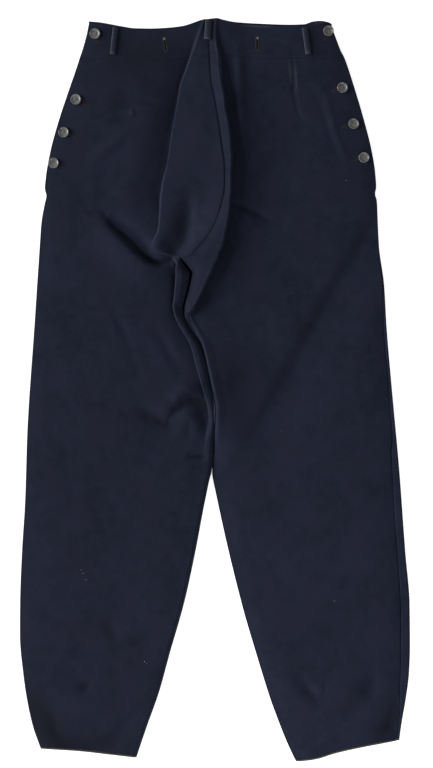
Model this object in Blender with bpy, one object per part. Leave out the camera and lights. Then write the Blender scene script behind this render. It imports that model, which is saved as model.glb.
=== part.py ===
# Ski trousers of navy wool twill, laid flat with the buttonholed front upwards.
# X runs across the waist, Y up from the hems to the waist, Z up from the table.
# Tables are in millimetres: "down" is measured from the highest point of the
# waistband towards the hems, "across" from the middle of the whole garment.
import math

import bmesh
import bpy
import numpy as np

MM = 0.001

# Driving sizes
LENGTH = 1091.0          # waistband's highest point to the lowest hem corner
WALL = 1.4               # cloth thickness
CLEAR = 0.3              # between pieces that touch or are sewn together
BAND_SEAM = 58.0         # front waistband's seam, down from the top at the sides
BACK_BAND_SEAM = 64.0    # and the back's, which lies a little lower
PLACKET_END = 258.0      # bottom of the side openings
LEG_TOUCH = 600.0        # down to here the two legs' backs lie edge to edge
LEG_SPLIT = 661.0        # from here the two legs have parted in the flat lay
BACK_INSET = 1.2         # back edge inside the front edge along the side openings
BACK_DROP = 1.5          # back waistband's top edge below the front's
EDGE_ROLL = 24.0         # how fast a side edge curls down to the back
FRONT_CROWN = 4.2        # loft of the front between its edges
DIP_SPREAD = 24.0        # how fast the cloth beside a fold rises again
LOWEST = WALL + CLEAR + WALL / 2     # middle of the front wall where it lies on the back

BEND_SHARE = 0.85        # most of a fold's drop that its two bends may take up
CREASE_END = 0.06        # share of a crease's length that tapers away at each end
STRIP_GAP = 0.5          # between the right front's edge and the cloth turned over it

BUTTON_RADIUS = 7.7
BUTTON_RIM = 3.1
BUTTON_DISH = 2.1
BUTTON_SIDES = 18
LOOP_THICKNESS = 1.6
LOOP_ARCH = 1.1
TAPE_DEPTH = 1.6
TAPE_THICKNESS = 1.0
BACK_STRIP = 1.2         # least width of the strip along a back's outer edge

# Sides of the garment, with the columns of points over the raised cloth, round each
# bend, down the drop between them, over the plain cloth beside it and over the rest
FRONT_SIDES = ((-1, "left", (6, 2, 1, 9, 4)), (1, "right", (4, 3, 1, 4, 5)))
BESIDE_FOLD = 80.0       # width of the plain cloth beside a fold, in its own columns
BESIDE_SHARE = 0.55      # and the most of a narrow section that it takes up
BAND_COLUMNS = 36        # columns of points along the back waistband

CLOTH = (0.0115, 0.0135, 0.026)
HORN = (0.045, 0.042, 0.040)
TAPE = (0.42, 0.36, 0.27)


def table(columns, rows):
    return dict(zip(columns.split(), np.array(rows, float).T))


# Outline of the garment, outer sides
LEFT_SIDE = table("down across", [
    (4, -185.4), (26, -189.6), (64, -200.5), (105, -214.6), (149, -229.3), (193, -241.4),
    (233, -248.6), (250, -250.0), (261, -247.8), (272, -250.2), (302, -255.3), (333, -257.5),
    (450, -265.3), (609, -275.9), (708, -279.0), (784, -283.7), (861, -286.5), (905, -286.7),
    (966, -281.5), (1010, -275.2), (1047, -267.1), (1072, -258.5), (1092, -250.5)])
RIGHT_SIDE = table("down across", [
    (8, 171.4), (26, 176.4), (64, 192.2), (105, 205.7), (149, 218.7), (193, 229.8),
    (226, 235.2), (248, 236.7), (258, 235.1), (268, 237.7), (302, 239.2), (333, 240.8),
    (392, 248.6), (450, 251.9), (542, 259.7), (661, 270.6), (784, 279.7), (861, 286.0),
    (921, 286.5), (966, 285.0), (1010, 280.3), (1058, 273.3), (1092, 269.0)])

# Middle of the centre seam down to the crotch, then of the gap between the two legs
CENTRE = table("down line gap", [
    (0, -10.4, 0), (36, -10.1, 0), (73, -8.1, 0), (95, -6.3, 0), (114, -2.0, 0), (136, 2.0, 0),
    (183, 8.9, 0), (227, 14.2, 0), (250, 13.7, 0), (271, 9.9, 0), (303, -0.6, 0),
    (328, -16.5, 0), (343, -29.8, 0), (349, -35.0, 0), (352, -50.4, 1.8), (358, -46.5, 4.4),
    (367, -40.1, 5.2), (375, -34.8, 4.0), (379, -35.2, 3.2), (399, -39.3, 2.8),
    (414, -43.2, 2.8), (424, -46.2, 3.6), (434, -46.2, 2.8), (446, -42.3, 2.2),
    (462, -32.8, 2.4), (477, -22.8, 3.2), (490, -17.9, 2.6), (511, -12.6, 1.6),
    (556, -1.6, 1.5), (575, 0.9, 1.3), (600, 0.3, 1.3), (624, -2.3, 1.4), (661, -4.3, 2.2),
    (678, -5.6, 7.0), (708, -5.6, 18.9), (784, -4.4, 49.7), (861, -3.3, 85.4),
    (921, -3.2, 119.9), (987, -1.8, 160.7), (1031, -1.0, 195.5), (1060, 0.4, 219.2),
    (1092, 3.4, 246.1)])

# Raised cloth each side of the centre. "reach" is its width out to the edge where it
# drops, "lift" that drop, "turn" how far round the cloth turns there in degrees (over
# 90 it tucks back under itself), "crest" and "foot" the radii of its two bends, "inner"
# its height at the centre seam or leg edge, "hollow" how far it swells between and "dip"
# how far the cloth beside it sinks towards its foot.
LEFT_FOLD = table("down reach lift turn crest foot inner hollow dip", [
    (0, 6, 0.8, 14, 5, 8, 4.6, 0, 0), (18, 12, 1.8, 30, 4, 7, 6.4, 0, 0.5),
    (56, 25, 4.2, 62, 3.2, 4, 10.4, 0.5, 1.8), (112, 50, 7.2, 82, 2.8, 3, 14.6, 0.8, 3.2),
    (190, 76, 9.2, 87, 2.8, 3, 17.2, 0.8, 3.8), (256, 91, 10.2, 84, 3.4, 4, 18.2, -2, 3.4),
    (286, 85, 10.2, 74, 6, 6, 18.2, -5.4, 2.4), (314, 77, 9.4, 58, 8.6, 10, 17.6, -8.6, 1.2),
    (333, 66, 6.6, 42, 9.6, 12.9, 16.8, -9, 0.4), (343, 50, 3.1, 30, 8.3, 10.4, 16.2, -7, 0),
    (349, 31, 3.4, 34, 5.5, 7.8, 15.4, -3, 0), (352, 9, 4.8, 42, 4.1, 5.2, 14, 0.3, 0),
    (358, 11, 8.5, 66, 2.5, 3.1, 11.5, 0.9, 0.4), (367, 19, 10.5, 80, 2.5, 2.8, 7.5, 2.3, 0.8),
    (375, 26, 11.1, 86, 2.5, 2.8, 5.5, 3.4, 1), (392, 25, 11.1, 88, 2.5, 2.8, 5.3, 3.7, 1.2),
    (415, 21, 10.2, 88, 2.5, 2.8, 5, 2.8, 1.2), (428, 18, 8, 84, 2.3, 2.8, 3.8, -1.1, 1),
    (444, 17, 7.1, 78, 2.2, 3.1, 7.5, 0.3, 1), (467, 18, 7.4, 74, 2.5, 3.9, 8.4, 0.9, 1),
    (502, 18, 6.5, 64, 2.7, 5.1, 7.5, 0.7, 1), (546, 16, 4.9, 54, 3, 4.8, 6.2, 0.5, 0.8),
    (568, 12, 3.9, 48, 3.1, 4.6, 5.3, 0.4, 0), (624, 12, 2.3, 36, 3.1, 5.2, 4, 0.3, 0),
    (661, 17, 0.8, 12, 4, 6, 2.9, 0.4, 0), (708, 17, 0.8, 12, 6, 8, 2.4, 0.4, 0),
    (1092, 17, 0.8, 12, 6, 8, 2.4, 0.3, 0)])
RIGHT_FOLD = table("down reach lift turn crest foot inner hollow dip", [
    (0, 14, 0.8, 14, 5, 8, 4.6, 0, 0), (17, 12, 1.9, 22, 4, 8.1, 5.8, 0, 0),
    (67, 15, 6.9, 64, 2.6, 4.9, 11.2, 0.4, 0), (105, 16, 11.4, 108, 2.1, 2.6, 14.6, 0.4, 0),
    (136, 14, 12.8, 136, 1.9, 2.1, 16, 0.4, 0), (164, 15, 13, 150, 1.9, 1.9, 17, 0.4, 0),
    (199, 13, 13.3, 158, 1.9, 1.9, 17.5, 0.3, 0), (233, 9.5, 13.3, 161, 1.9, 1.9, 18, 0.1, 0),
    (259, 10.5, 13.3, 161, 1.9, 1.9, 18.1, 0.1, 0), (286, 15, 13.3, 161, 1.9, 1.9, 18.1, 0.3, 0),
    (311, 21, 13, 160, 1.9, 1.9, 17.7, 0.6, 0), (336, 34, 12.7, 158, 1.9, 1.9, 16.5, 1.1, 0),
    (349, 40, 12.6, 157, 1.9, 1.9, 15.8, 1.4, 0), (352, 54, 12.5, 156, 1.9, 1.9, 15.5, 1.7, 0),
    (358, 45.5, 12.5, 155, 1.9, 1.9, 15.5, 1.7, 0), (367, 35, 12.8, 153, 1.9, 1.9, 15.4, 1.4, 0),
    (375, 26.5, 12.5, 152, 1.9, 1.9, 15.3, 1, 0), (381, 24.5, 12.2, 150, 1.9, 1.9, 15.3, 0.9, 0),
    (402, 17, 10.8, 142, 1.9, 1.9, 13.2, 0.6, 0), (424, 12, 8.8, 114, 1.9, 2.1, 11.8, 0.4, 0),
    (437, 8, 7.1, 84, 2.1, 2.6, 10.4, 0.3, 0), (450, 7, 5.7, 60, 2.8, 3.9, 8.7, 0.1, 0),
    (490, 8, 4.7, 48, 3.3, 5.2, 7.5, 0.3, 0), (556, 9, 3.5, 40, 3.2, 5.9, 6.1, 0.3, 0),
    (624, 12, 2.2, 32, 3.1, 5.2, 4, 0.3, 0), (661, 17, 0.8, 12, 4, 6, 2.9, 0.4, 0),
    (708, 17, 0.8, 12, 6, 8, 2.4, 0.4, 0), (1092, 17, 0.8, 12, 6, 8, 2.4, 0.3, 0)])

# Width of the right leg's back that turns over its outer edge, and its height there
RIGHT_TURNOVER = table("down width height", [
    (58, 0, 1.4), (300, 0, 1.4), (330, 0, 1.4), (362, 1.6, 1.4), (392, 2.2, 2.4), (450, 4, 3.6),
    (609, 6, 4.0), (645, 11, 4.1), (784, 12.5, 4.1), (861, 14, 4.1), (921, 14, 4.1),
    (987, 12, 4.1), (1035, 5, 4.1), (1092, 3.5, 4.1)])

# Edges that run across the garment: "across" to "down"
WAIST_EDGE = table("across down", [
    (-186, 4.2), (-169, 6.2), (-140, 11.6), (-118, 15.0), (-94, 15.4), (-66, 14.0), (-46, 11.4),
    (-32, 7.0), (-20, 2.8), (-8, 0.8), (2, 0.2), (12, 2.6), (29, 6.0), (66, 8.4), (110, 9.8),
    (130, 9.2), (143, 5.2), (154, 3.8), (166, 5.6), (172, 8.6)])
BAND_EDGE = table("across down", [
    (-199, 57.5), (-118, 60.6), (-55, 60.2), (-20, 55.0), (3, 52.5), (22, 55.0), (90, 59.4),
    (150, 58.6), (191, 57.5)])
LEFT_HEM = table("across down", [
    (-260, 1072.6), (-205, 1075.6), (-155, 1080.8), (-116, 1085.4)])
RIGHT_HEM = table("across down", [
    (124, 1091.4), (147, 1088.0), (176, 1079.0), (213, 1070.6), (275, 1059.6)])

# Soft troughs (negative) and ridges in the front: a line of (across, down) points
CREASES = [
    dict(name="trough round the crotch", height=-7.0, half_width=7.5, points=[
        (-164, 296), (-150, 311), (-136, 326), (-119, 341), (-104, 351), (-88, 359),
        (-74, 359), (-63, 353)]),
    dict(name="swell below the trough", height=5.0, half_width=17, points=[
        (-182, 312), (-158, 340), (-128, 366), (-104, 380), (-84, 388), (-80, 430)]),
    dict(name="swell above the trough", height=3.0, half_width=13, points=[
        (-160, 268), (-136, 298), (-114, 318)]),
    dict(name="trough beside the left leg fold", height=-1.6, half_width=9, points=[
        (-78, 430), (-66, 470), (-52, 500), (-40, 520)]),
    dict(name="swell above the left knee", height=2.2, half_width=16, points=[
        (-74, 560), (-52, 546), (-26, 540), (-6, 560)]),
    dict(name="arch above the left knee", height=-3.2, half_width=6, points=[
        (-58, 576), (-47, 566), (-33, 561), (-21, 566), (-15, 586)]),
    dict(name="sag at the left knee", height=-1.4, half_width=10, points=[
        (-109, 571), (-84, 590), (-66, 600)]),
    dict(name="ridge across the left thigh", height=1.1, half_width=9, points=[
        (-158, 430), (-140, 462), (-126, 492)]),
    dict(name="long trough down the right leg", height=-1.3, half_width=26, points=[
        (215, 305), (150, 420), (96, 500), (40, 600)]),
    dict(name="short crease on the right hip", height=-1.8, half_width=6, points=[
        (24, 270), (50, 280), (84, 298)]),
    dict(name="pleat right of the centre fold", height=2.6, half_width=6, points=[
        (34, 40), (37, 96), (40, 150), (42, 200)]),
    dict(name="swell above the left hem", height=2.4, half_width=22, points=[
        (-250, 960), (-222, 1000), (-180, 1012), (-140, 992)]),
    dict(name="trough at the left hem", height=-2.8, half_width=10, points=[
        (-268, 1000), (-245, 1038), (-218, 1052), (-175, 1050), (-124, 1026)]),
    dict(name="dimple at the right hem", height=-1.3, half_width=11, points=[
        (262, 1020), (250, 1040)]),
]

# Seam of the two backs, hidden behind the front and, lower down, beside its crack
BACK_SEAM = table("down across", [
    (0, -6), (64, -6.5), (200, -12), (330, -28), (400, -33), (430, -39), (446, -35),
    (462, -26), (490, -11), (520, -3), (556, 4.8), (578, 6), (600, 0.3)])

BUTTONS = [
    ("left_1", -176.1, 23.2), ("left_2", -204.2, 119.5), ("left_3", -222.1, 167.9),
    ("left_4", -236.7, 212.9), ("right_1", 165.0, 17.6), ("right_2", 186.8, 102.3),
    ("right_3", 203.3, 154.2), ("right_4", 218.4, 203.7)]
LOOPS = [
    dict(name="belt_loop_left", width=7.5, top=(-146.1, 13.6), foot=(-150.5, 52.6)),
    dict(name="belt_loop_centre", width=11.0, top=(-9.6, 3.6), foot=(-11.4, 32.0)),
    dict(name="belt_loop_right", width=7.5, top=(131.0, 14.6), foot=(136.6, 53.0)),
]


def read(rows, column, where, key="down"):
    """Smooth value of a column between a table's rows, never past its neighbours."""
    x, y = rows[key], rows[column]
    step = np.diff(y) / np.diff(x)
    before, after = step[:-1], step[1:]
    even = 2 * before * after / np.where(before + after == 0, 1, before + after)
    slope = np.concatenate([[step[0]], np.where(before * after > 0, even, 0), [step[-1]]])
    where = np.clip(np.asarray(where, float), x[0], x[-1])
    i = np.clip(np.searchsorted(x, where) - 1, 0, len(x) - 2)
    span = x[i + 1] - x[i]
    t = (where - x[i]) / span
    return ((2 * t**3 - 3 * t**2 + 1) * y[i] + (t**3 - 2 * t**2 + t) * span * slope[i]
            + (3 * t**2 - 2 * t**3) * y[i + 1] + (t**3 - t**2) * span * slope[i + 1])


def smoothstep(t):
    t = np.clip(t, 0, 1)
    return t * t * (3 - 2 * t)


def crease_height(across, down):
    """Sum of the soft troughs and ridges at places on the front."""
    total = np.zeros(np.broadcast(across, down).shape)
    for crease in CREASES:
        line = np.array(crease["points"], float)
        runs = np.linalg.norm(np.diff(line, axis=0), axis=1)
        start = np.concatenate([[0], np.cumsum(runs)])
        nearest = np.full(total.shape, 1e9)
        along = np.zeros(total.shape)
        for (ax, ay), (bx, by), run, begin in zip(line[:-1], line[1:], runs, start):
            t = ((across - ax) * (bx - ax) + (down - ay) * (by - ay)) / run**2
            t = np.clip(t, 0, 1)
            gap = np.hypot(across - ax - t * (bx - ax), down - ay - t * (by - ay))
            along = np.where(gap < nearest, (begin + t * run) / start[-1], along)
            nearest = np.minimum(nearest, gap)
        fade = np.sin(math.pi * np.clip(along, CREASE_END, 1 - CREASE_END)) ** 0.6
        total += crease["height"] * fade * np.exp(-(nearest / crease["half_width"]) ** 2)
    return total


def inner_edge(side, down):
    """The front's edge at the centre seam or, below it, along the inside of the leg."""
    gap = read(CENTRE, "gap", down) + CLEAR
    return read(CENTRE, "line", down) + side * gap / 2


def side_across(side, down):
    if side < 0:
        return read(LEFT_SIDE, "across", down)
    width = read(RIGHT_TURNOVER, "width", down)
    return read(RIGHT_SIDE, "across", down) - width - 2 * CLEAR * smoothstep(width / BACK_STRIP)


def side_height(side, down):
    """Middle of the front wall along its outer edge."""
    if side < 0:
        return LOWEST
    return max(LOWEST, read(RIGHT_TURNOVER, "height", down) - WALL / 2)


def floor_height(side, across, down):
    """Middle of the front wall where it lies plainly on the back."""
    inside = np.abs(side_across(side, down) - across)
    return side_height(side, down) + FRONT_CROWN * (1 - np.exp(-inside / EDGE_ROLL))


def front_section(side, down, counts):
    """Across and height of one section, from the centre out; side is -1 left, 1 right."""
    rows = LEFT_FOLD if side < 0 else RIGHT_FOLD
    plateau, bend, slope, beside, rest = counts
    centre = inner_edge(side, down)
    edge = centre + side * read(rows, "reach", down)
    lift = read(rows, "lift", down)
    turn = math.radians(read(rows, "turn", down))
    inner = read(rows, "inner", down)
    crest, toe = read(rows, "crest", down), read(rows, "foot", down)
    dip = read(rows, "dip", down)
    drop = lift + dip
    fit = min(1, BEND_SHARE * drop / ((crest + toe) * (1 - math.cos(turn))))
    crest, toe = crest * fit, toe * fit
    start = edge - side * crest * math.sin(min(turn, math.pi / 2))
    straight = (drop - (crest + toe) * (1 - math.cos(turn))) / math.sin(turn)
    advance = (crest + toe) * math.sin(turn) + straight * math.cos(turn)
    foot = start + side * advance
    low = floor_height(side, foot, down) - dip
    top = low + drop

    t = np.linspace(0, 1, plateau + 1)[:-1]
    across = [centre + (start - centre) * t]
    height = [inner + (top - inner) * smoothstep(t)
              + read(rows, "hollow", down) * np.sin(math.pi * t) ** 2]
    angle = np.linspace(0, turn, bend + 1)
    across.append(start + side * crest * np.sin(angle))
    height.append(top - crest * (1 - np.cos(angle)))
    run = np.linspace(0, straight, slope + 1)[1:-1]
    across.append(across[-1][-1] + side * run * math.cos(turn))
    height.append(height[-1][-1] - run * math.sin(turn))
    across.append(foot - side * toe * np.sin(angle[::-1]))
    height.append(low + toe * (1 - np.cos(angle[::-1])))
    outer = side_across(side, down)
    near = min(BESIDE_FOLD, BESIDE_SHARE * abs(outer - foot))
    across.append(foot + side * near * np.linspace(0, 1, beside + 1)[1:])
    far = np.linspace(foot + side * near, outer, rest + 1)[1:]
    far[-2] = (far[-2] + outer) / 2
    across.append(far)
    beyond = np.concatenate(across[-2:])
    sunk = dip * np.exp(-np.abs(beyond - foot) / DIP_SPREAD)
    height.append(floor_height(side, beyond, down) - sunk)
    return np.concatenate(across), np.concatenate(height)


def front_grid(side, downs, counts, bend_rows):
    """Middle surface of a front piece: one row of points for each place down it."""
    rows = []
    for down in downs:
        across, height = front_section(side, down, counts)
        local = down + bend_rows(across, down)
        height = np.maximum(height + crease_height(across, local), LOWEST)
        rows.append(np.stack([across, local, height], axis=1))
    return np.array(rows)


def between(down, start, end):
    return float(smoothstep((down - start) / (end - start)))


def leg_rows(side, band_share=1.0):
    """Bends the rows of a leg to its waistband seam and to its hem."""
    hem = LEFT_HEM if side < 0 else RIGHT_HEM
    level = hem_level(side)

    def bend(across, down):
        near_band = band_share * (1 - between(down, BAND_SEAM, BAND_SEAM + 60))
        near_hem = between(down, level - 150, level)
        return (near_band * (read(BAND_EDGE, "down", across, "across") - BAND_SEAM)
                + near_hem * (read(hem, "down", across, "across") - level))
    return bend


def hem_level(side):
    hem = LEFT_HEM if side < 0 else RIGHT_HEM
    return float(hem["down"].mean())


def band_rows(across, down):
    """Bends the rows of a waistband between the waist edge and the band's seam."""
    t = down / BAND_SEAM
    top = read(WAIST_EDGE, "down", across, "across")
    foot = read(BAND_EDGE, "down", across, "across")
    return top + (foot - top) * t - down


def stations(*spans):
    """Stations down a piece: each span is (start, end, steps)."""
    parts = [np.linspace(start, end, steps, endpoint=False) for start, end, steps in spans]
    return np.append(np.concatenate(parts), spans[-1][1])


def leg_spans(side):
    """Stations from the crotch to the hem, shared by a leg's front and back."""
    end = hem_level(side) - TAPE_DEPTH - CLEAR
    return (379, 480, 9), (480, LEG_SPLIT, 8), (LEG_SPLIT, 980, 7), (980, end, 5)


def offset_sides(grid):
    """The wall's two faces; along its rim they are moved straight up and down."""
    along = np.gradient(grid, axis=0)
    aside = np.gradient(grid, axis=1)
    normal = np.cross(aside, along)
    normal /= np.linalg.norm(normal, axis=2, keepdims=True)
    if normal[len(normal) // 2, -1, 2] < 0:
        normal = -normal
    for rim in (normal[0], normal[-1], normal[:, 0], normal[:, -1]):
        rim[:] = (0, 0, 1)
    return grid + normal * WALL / 2, grid - normal * WALL / 2


def material(name, colour, roughness):
    made = bpy.data.materials.new(name)
    made.use_nodes = True
    shader = made.node_tree.nodes["Principled BSDF"]
    shader.inputs["Base Color"].default_value = (*colour, 1)
    shader.inputs["Roughness"].default_value = roughness
    shader.inputs["Metallic"].default_value = 0.0
    return made


def to_metres(point):
    """Across, down and height in millimetres to the part's own frame."""
    across, down, height = point
    return across * MM, (LENGTH / 2 - down) * MM, height * MM


def add_object(name, bm, finish):
    bmesh.ops.recalc_face_normals(bm, faces=bm.faces)
    mesh = bpy.data.meshes.new(name)
    bm.to_mesh(mesh)
    bm.free()
    mesh.materials.append(finish)
    made = bpy.data.objects.new(name, mesh)
    bpy.context.scene.collection.objects.link(made)
    return made


def slab(name, top, bottom, finish):
    """Closed solid between two grids of points of the same shape."""
    bm = bmesh.new()
    upper = [[bm.verts.new(to_metres(p)) for p in row] for row in top]
    lower = [[bm.verts.new(to_metres(p)) for p in row] for row in bottom]
    last_row, last = len(upper) - 1, len(upper[0]) - 1
    for r in range(last_row):
        for c in range(last):
            for face, order in ((upper, 1), (lower, -1)):
                corners = [face[r][c], face[r][c + 1], face[r + 1][c + 1], face[r + 1][c]]
                bm.faces.new(corners[::order])
        for c in (0, last):
            bm.faces.new([upper[r][c], upper[r + 1][c], lower[r + 1][c], lower[r][c]])
    for r in (0, last_row):
        for c in range(last):
            bm.faces.new([upper[r][c], upper[r][c + 1], lower[r][c + 1], lower[r][c]])
    return add_object(name, bm, finish)


def top_of_front(across, down):
    """Height of the front's upper face at a place on the waistband or beside an opening."""
    side = -1 if across < read(CENTRE, "line", down) else 1
    section_across, section_height = front_section(side, down, (6, 3, 1, 20, 20))
    order = np.argsort(section_across)
    middle = np.interp(across, section_across[order], section_height[order])
    middle += float(crease_height(np.array(across), np.array(down)))
    return middle + WALL / 2


def build_fronts(finish):
    for side, name, counts in FRONT_SIDES:
        downs = stations((BAND_SEAM + CLEAR / 2, 284, 14), (284, 349, 8), (349, 352, 2),
                         (352, 379, 5), *leg_spans(side))
        grid = front_grid(side, downs, counts, leg_rows(side))
        slab(f"leg_front_{name}", *offset_sides(grid), finish)
        downs = stations((0, BAND_SEAM - CLEAR / 2, 5))
        grid = front_grid(side, downs, counts, band_rows)
        slab(f"waistband_front_{name}", *offset_sides(grid), finish)


def back_centre(side, down):
    """Back seam to the crotch, then the inside of the leg, closed where the front gapes."""
    if down < BACK_SEAM["down"][-1]:
        return read(BACK_SEAM, "across", down) + side * CLEAR / 2
    gap = CLEAR + between(down, LEG_TOUCH, LEG_SPLIT) * read(CENTRE, "gap", down)
    return read(CENTRE, "line", down) + side * gap / 2


def back_rows(side, downs):
    """Upper and lower points of a leg's back; the right one turns over its outer edge."""
    outline = RIGHT_SIDE if side > 0 else LEFT_SIDE
    bend = leg_rows(side, band_share=0)
    top, bottom = [], []
    for down in downs:
        inset = BACK_INSET * (1 - between(down, PLACKET_END, PLACKET_END + 12))
        outer = read(outline, "across", down) - side * inset
        inner = back_centre(side, down)
        strip, rim = BACK_STRIP, WALL
        if side > 0:
            strip = max(strip, read(RIGHT_TURNOVER, "width", down))
            rim = read(RIGHT_TURNOVER, "height", down)
        seam = outer - side * strip
        across = np.linspace(inner, seam - side * STRIP_GAP, 4)
        across = np.append(across, [seam, outer - side * BACK_STRIP / 2, outer])
        heights = [WALL] * 4 + [rim, rim, (WALL + rim) / 2]
        local = down + bend(across, down)
        top.append(np.stack([across, local, heights], axis=1))
        bottom.append(np.stack([across, local, np.zeros(len(across))], axis=1))
    return np.array(top), np.array(bottom)


def build_backs(finish):
    for side, name, _ in FRONT_SIDES:
        downs = stations((BACK_BAND_SEAM + CLEAR / 2, 240, 3), (240, 275, 4), (275, 330, 2),
                         (330, 379, 3), *leg_spans(side))
        slab(f"leg_back_{name}", *back_rows(side, downs), finish)


def build_back_band(finish):
    """One flat band with a straight seam, its top edge just behind the front's."""
    left = LEFT_SIDE["across"][0] + BACK_INSET
    right = RIGHT_SIDE["across"][0] - BACK_INSET
    left_foot = read(LEFT_SIDE, "across", BACK_BAND_SEAM) + BACK_INSET
    right_foot = read(RIGHT_SIDE, "across", BACK_BAND_SEAM) - BACK_INSET
    edge = np.linspace(left, right, BAND_COLUMNS)
    foot = np.linspace(left_foot, right_foot, BAND_COLUMNS)
    edge_down = read(WAIST_EDGE, "down", edge, "across") + BACK_DROP
    foot_down = foot * 0 + BACK_BAND_SEAM - CLEAR / 2
    bottom = np.array([np.stack([edge, edge_down, edge * 0], axis=1),
                       np.stack([foot, foot_down, foot * 0], axis=1)])
    slab("waistband_back", bottom + np.array([0, 0, WALL]), bottom, finish)


def build_buttons(finish):
    """Turned buttons with a raised rim and a dished middle."""
    # share of the radius and height of each ring, from the dish out and round to the back
    profile = [(0.52, BUTTON_DISH), (0.68, BUTTON_RIM - 0.1), (0.84, BUTTON_RIM),
               (0.97, BUTTON_RIM - 0.8), (0.97, 1.0), (0.70, 0.0)]
    for name, across, down in BUTTONS:
        turns = np.linspace(0, 2 * math.pi, BUTTON_SIDES, endpoint=False)
        around = [(across + BUTTON_RADIUS * math.cos(a), down + BUTTON_RADIUS * math.sin(a))
                  for a in turns]
        seat = max(top_of_front(x, y) for x, y in around + [(across, down)]) + CLEAR
        bm = bmesh.new()
        rings = []
        for share, rise in profile:
            radius = share * BUTTON_RADIUS
            rings.append([bm.verts.new(to_metres((
                across + radius * math.cos(a), down + radius * math.sin(a), seat + rise)))
                for a in turns])
        for outer, inner in zip(rings, rings[1:]):
            for k in range(BUTTON_SIDES):
                n = (k + 1) % BUTTON_SIDES
                bm.faces.new([outer[k], outer[n], inner[n], inner[k]])
        bm.faces.new(rings[0])
        bm.faces.new(rings[-1])
        add_object(f"button_{name}", bm, finish)


def build_loops(finish):
    """Flat straps that lie on the waistband with a slight arch for the belt."""
    for loop in LOOPS:
        (ax, ay), (bx, by) = loop["top"], loop["foot"]
        slant = np.array([by - ay, ax - bx]) / math.hypot(bx - ax, by - ay)
        rows = []
        for t in np.linspace(0, 1, 9):
            middle = np.array([ax + (bx - ax) * t, ay + (by - ay) * t])
            places = [middle + slant * loop["width"] * share for share in (-0.5, 0, 0.5)]
            seat = max(top_of_front(x, y) for x, y in places) + CLEAR
            rise = seat + LOOP_THICKNESS / 2 + LOOP_ARCH * math.sin(math.pi * t) ** 0.7
            rows.append([(x, y, rise) for x, y in places])
        grid = np.array(rows)
        up = np.array([0, 0, LOOP_THICKNESS / 2])
        slab(loop["name"], grid + up, grid - up, finish)


def build_hem_tapes(finish):
    """Narrow tape along the hem's edge, on the front and the back of each leg."""
    for side, name, counts in FRONT_SIDES:
        downs = (hem_level(side) - TAPE_DEPTH, hem_level(side))
        front = front_grid(side, downs, counts, leg_rows(side))
        up = np.array([0, 0, TAPE_THICKNESS / 2])
        slab(f"hem_tape_front_{name}", front + up, front - up, finish)
        back = back_rows(side, downs)[1]
        slab(f"hem_tape_back_{name}", back + 2 * up, back, finish)


def build():
    for old in list(bpy.data.objects):
        bpy.data.objects.remove(old, do_unlink=True)
    cloth = material("navy_wool_twill", CLOTH, 0.85)
    horn = material("dark_horn", HORN, 0.38)
    tape = material("hem_tape", TAPE, 0.8)
    build_fronts(cloth)
    build_backs(cloth)
    build_back_band(cloth)
    build_loops(cloth)
    build_hem_tapes(tape)
    build_buttons(horn)


build()
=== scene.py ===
import math

import bmesh
import bpy
import numpy as np
from mathutils import Matrix, Vector, noise


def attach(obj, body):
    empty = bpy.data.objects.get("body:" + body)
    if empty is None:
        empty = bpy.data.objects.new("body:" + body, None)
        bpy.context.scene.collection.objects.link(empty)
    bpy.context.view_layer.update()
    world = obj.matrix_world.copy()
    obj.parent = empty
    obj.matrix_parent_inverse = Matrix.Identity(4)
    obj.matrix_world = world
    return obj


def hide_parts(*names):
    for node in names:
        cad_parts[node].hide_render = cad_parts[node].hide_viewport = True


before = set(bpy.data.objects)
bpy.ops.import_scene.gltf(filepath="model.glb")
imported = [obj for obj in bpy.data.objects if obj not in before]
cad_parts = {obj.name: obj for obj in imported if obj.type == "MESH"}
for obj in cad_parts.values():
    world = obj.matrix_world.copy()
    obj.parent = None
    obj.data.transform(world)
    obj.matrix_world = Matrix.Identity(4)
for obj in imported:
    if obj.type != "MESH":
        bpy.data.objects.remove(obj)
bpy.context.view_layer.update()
print("frame loaded:", len(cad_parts), "nodes")

# Sizes are in millimetres: "down" from the highest point of the waistband towards the hems,
# "across" from the middle of the garment. The tables are those of the solids, a little finer.
# A pair such as "legParting" says where along the leg a change starts and ends; "innerRoll"
# has the width and the power of each side's rolled inner edge.
mm = 0.001
garment = {"length": 1091.0, "wall": 1.4, "clear": 0.3, "seamLap": 0.04, "bandSeam": 58.0,
           "backBandSeam": 64.0, "bandBend": (58, 118), "hemBend": 150,
           "placketEnd": (258, 270), "legParting": (657, 674), "edgeRoll": 24,
           "crown": 4.2, "softFloor": 0.5, "rollBelow": (585, 645),
           "innerRoll": {-1: (2.6, 1.7), 1: (24, 1)}, "rimWidth": 0.9, "rimPower": 1.3}
lowest = garment["wall"] * 1.5 + garment["clear"]     # middle of the front wall on the back
photo = {"pixel": 1.47, "middle": 215.1, "top": 18.6}  # places read off the photograph


# Columns by name; the first is the one that the rest are read by
def table(columns, rows):
    return dict(zip(columns.split(), np.array(rows, float).T))


def atPixel(*places):
    return [((u - photo["middle"]) * photo["pixel"], (v - photo["top"]) * photo["pixel"])
            for u, v in places]


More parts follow.
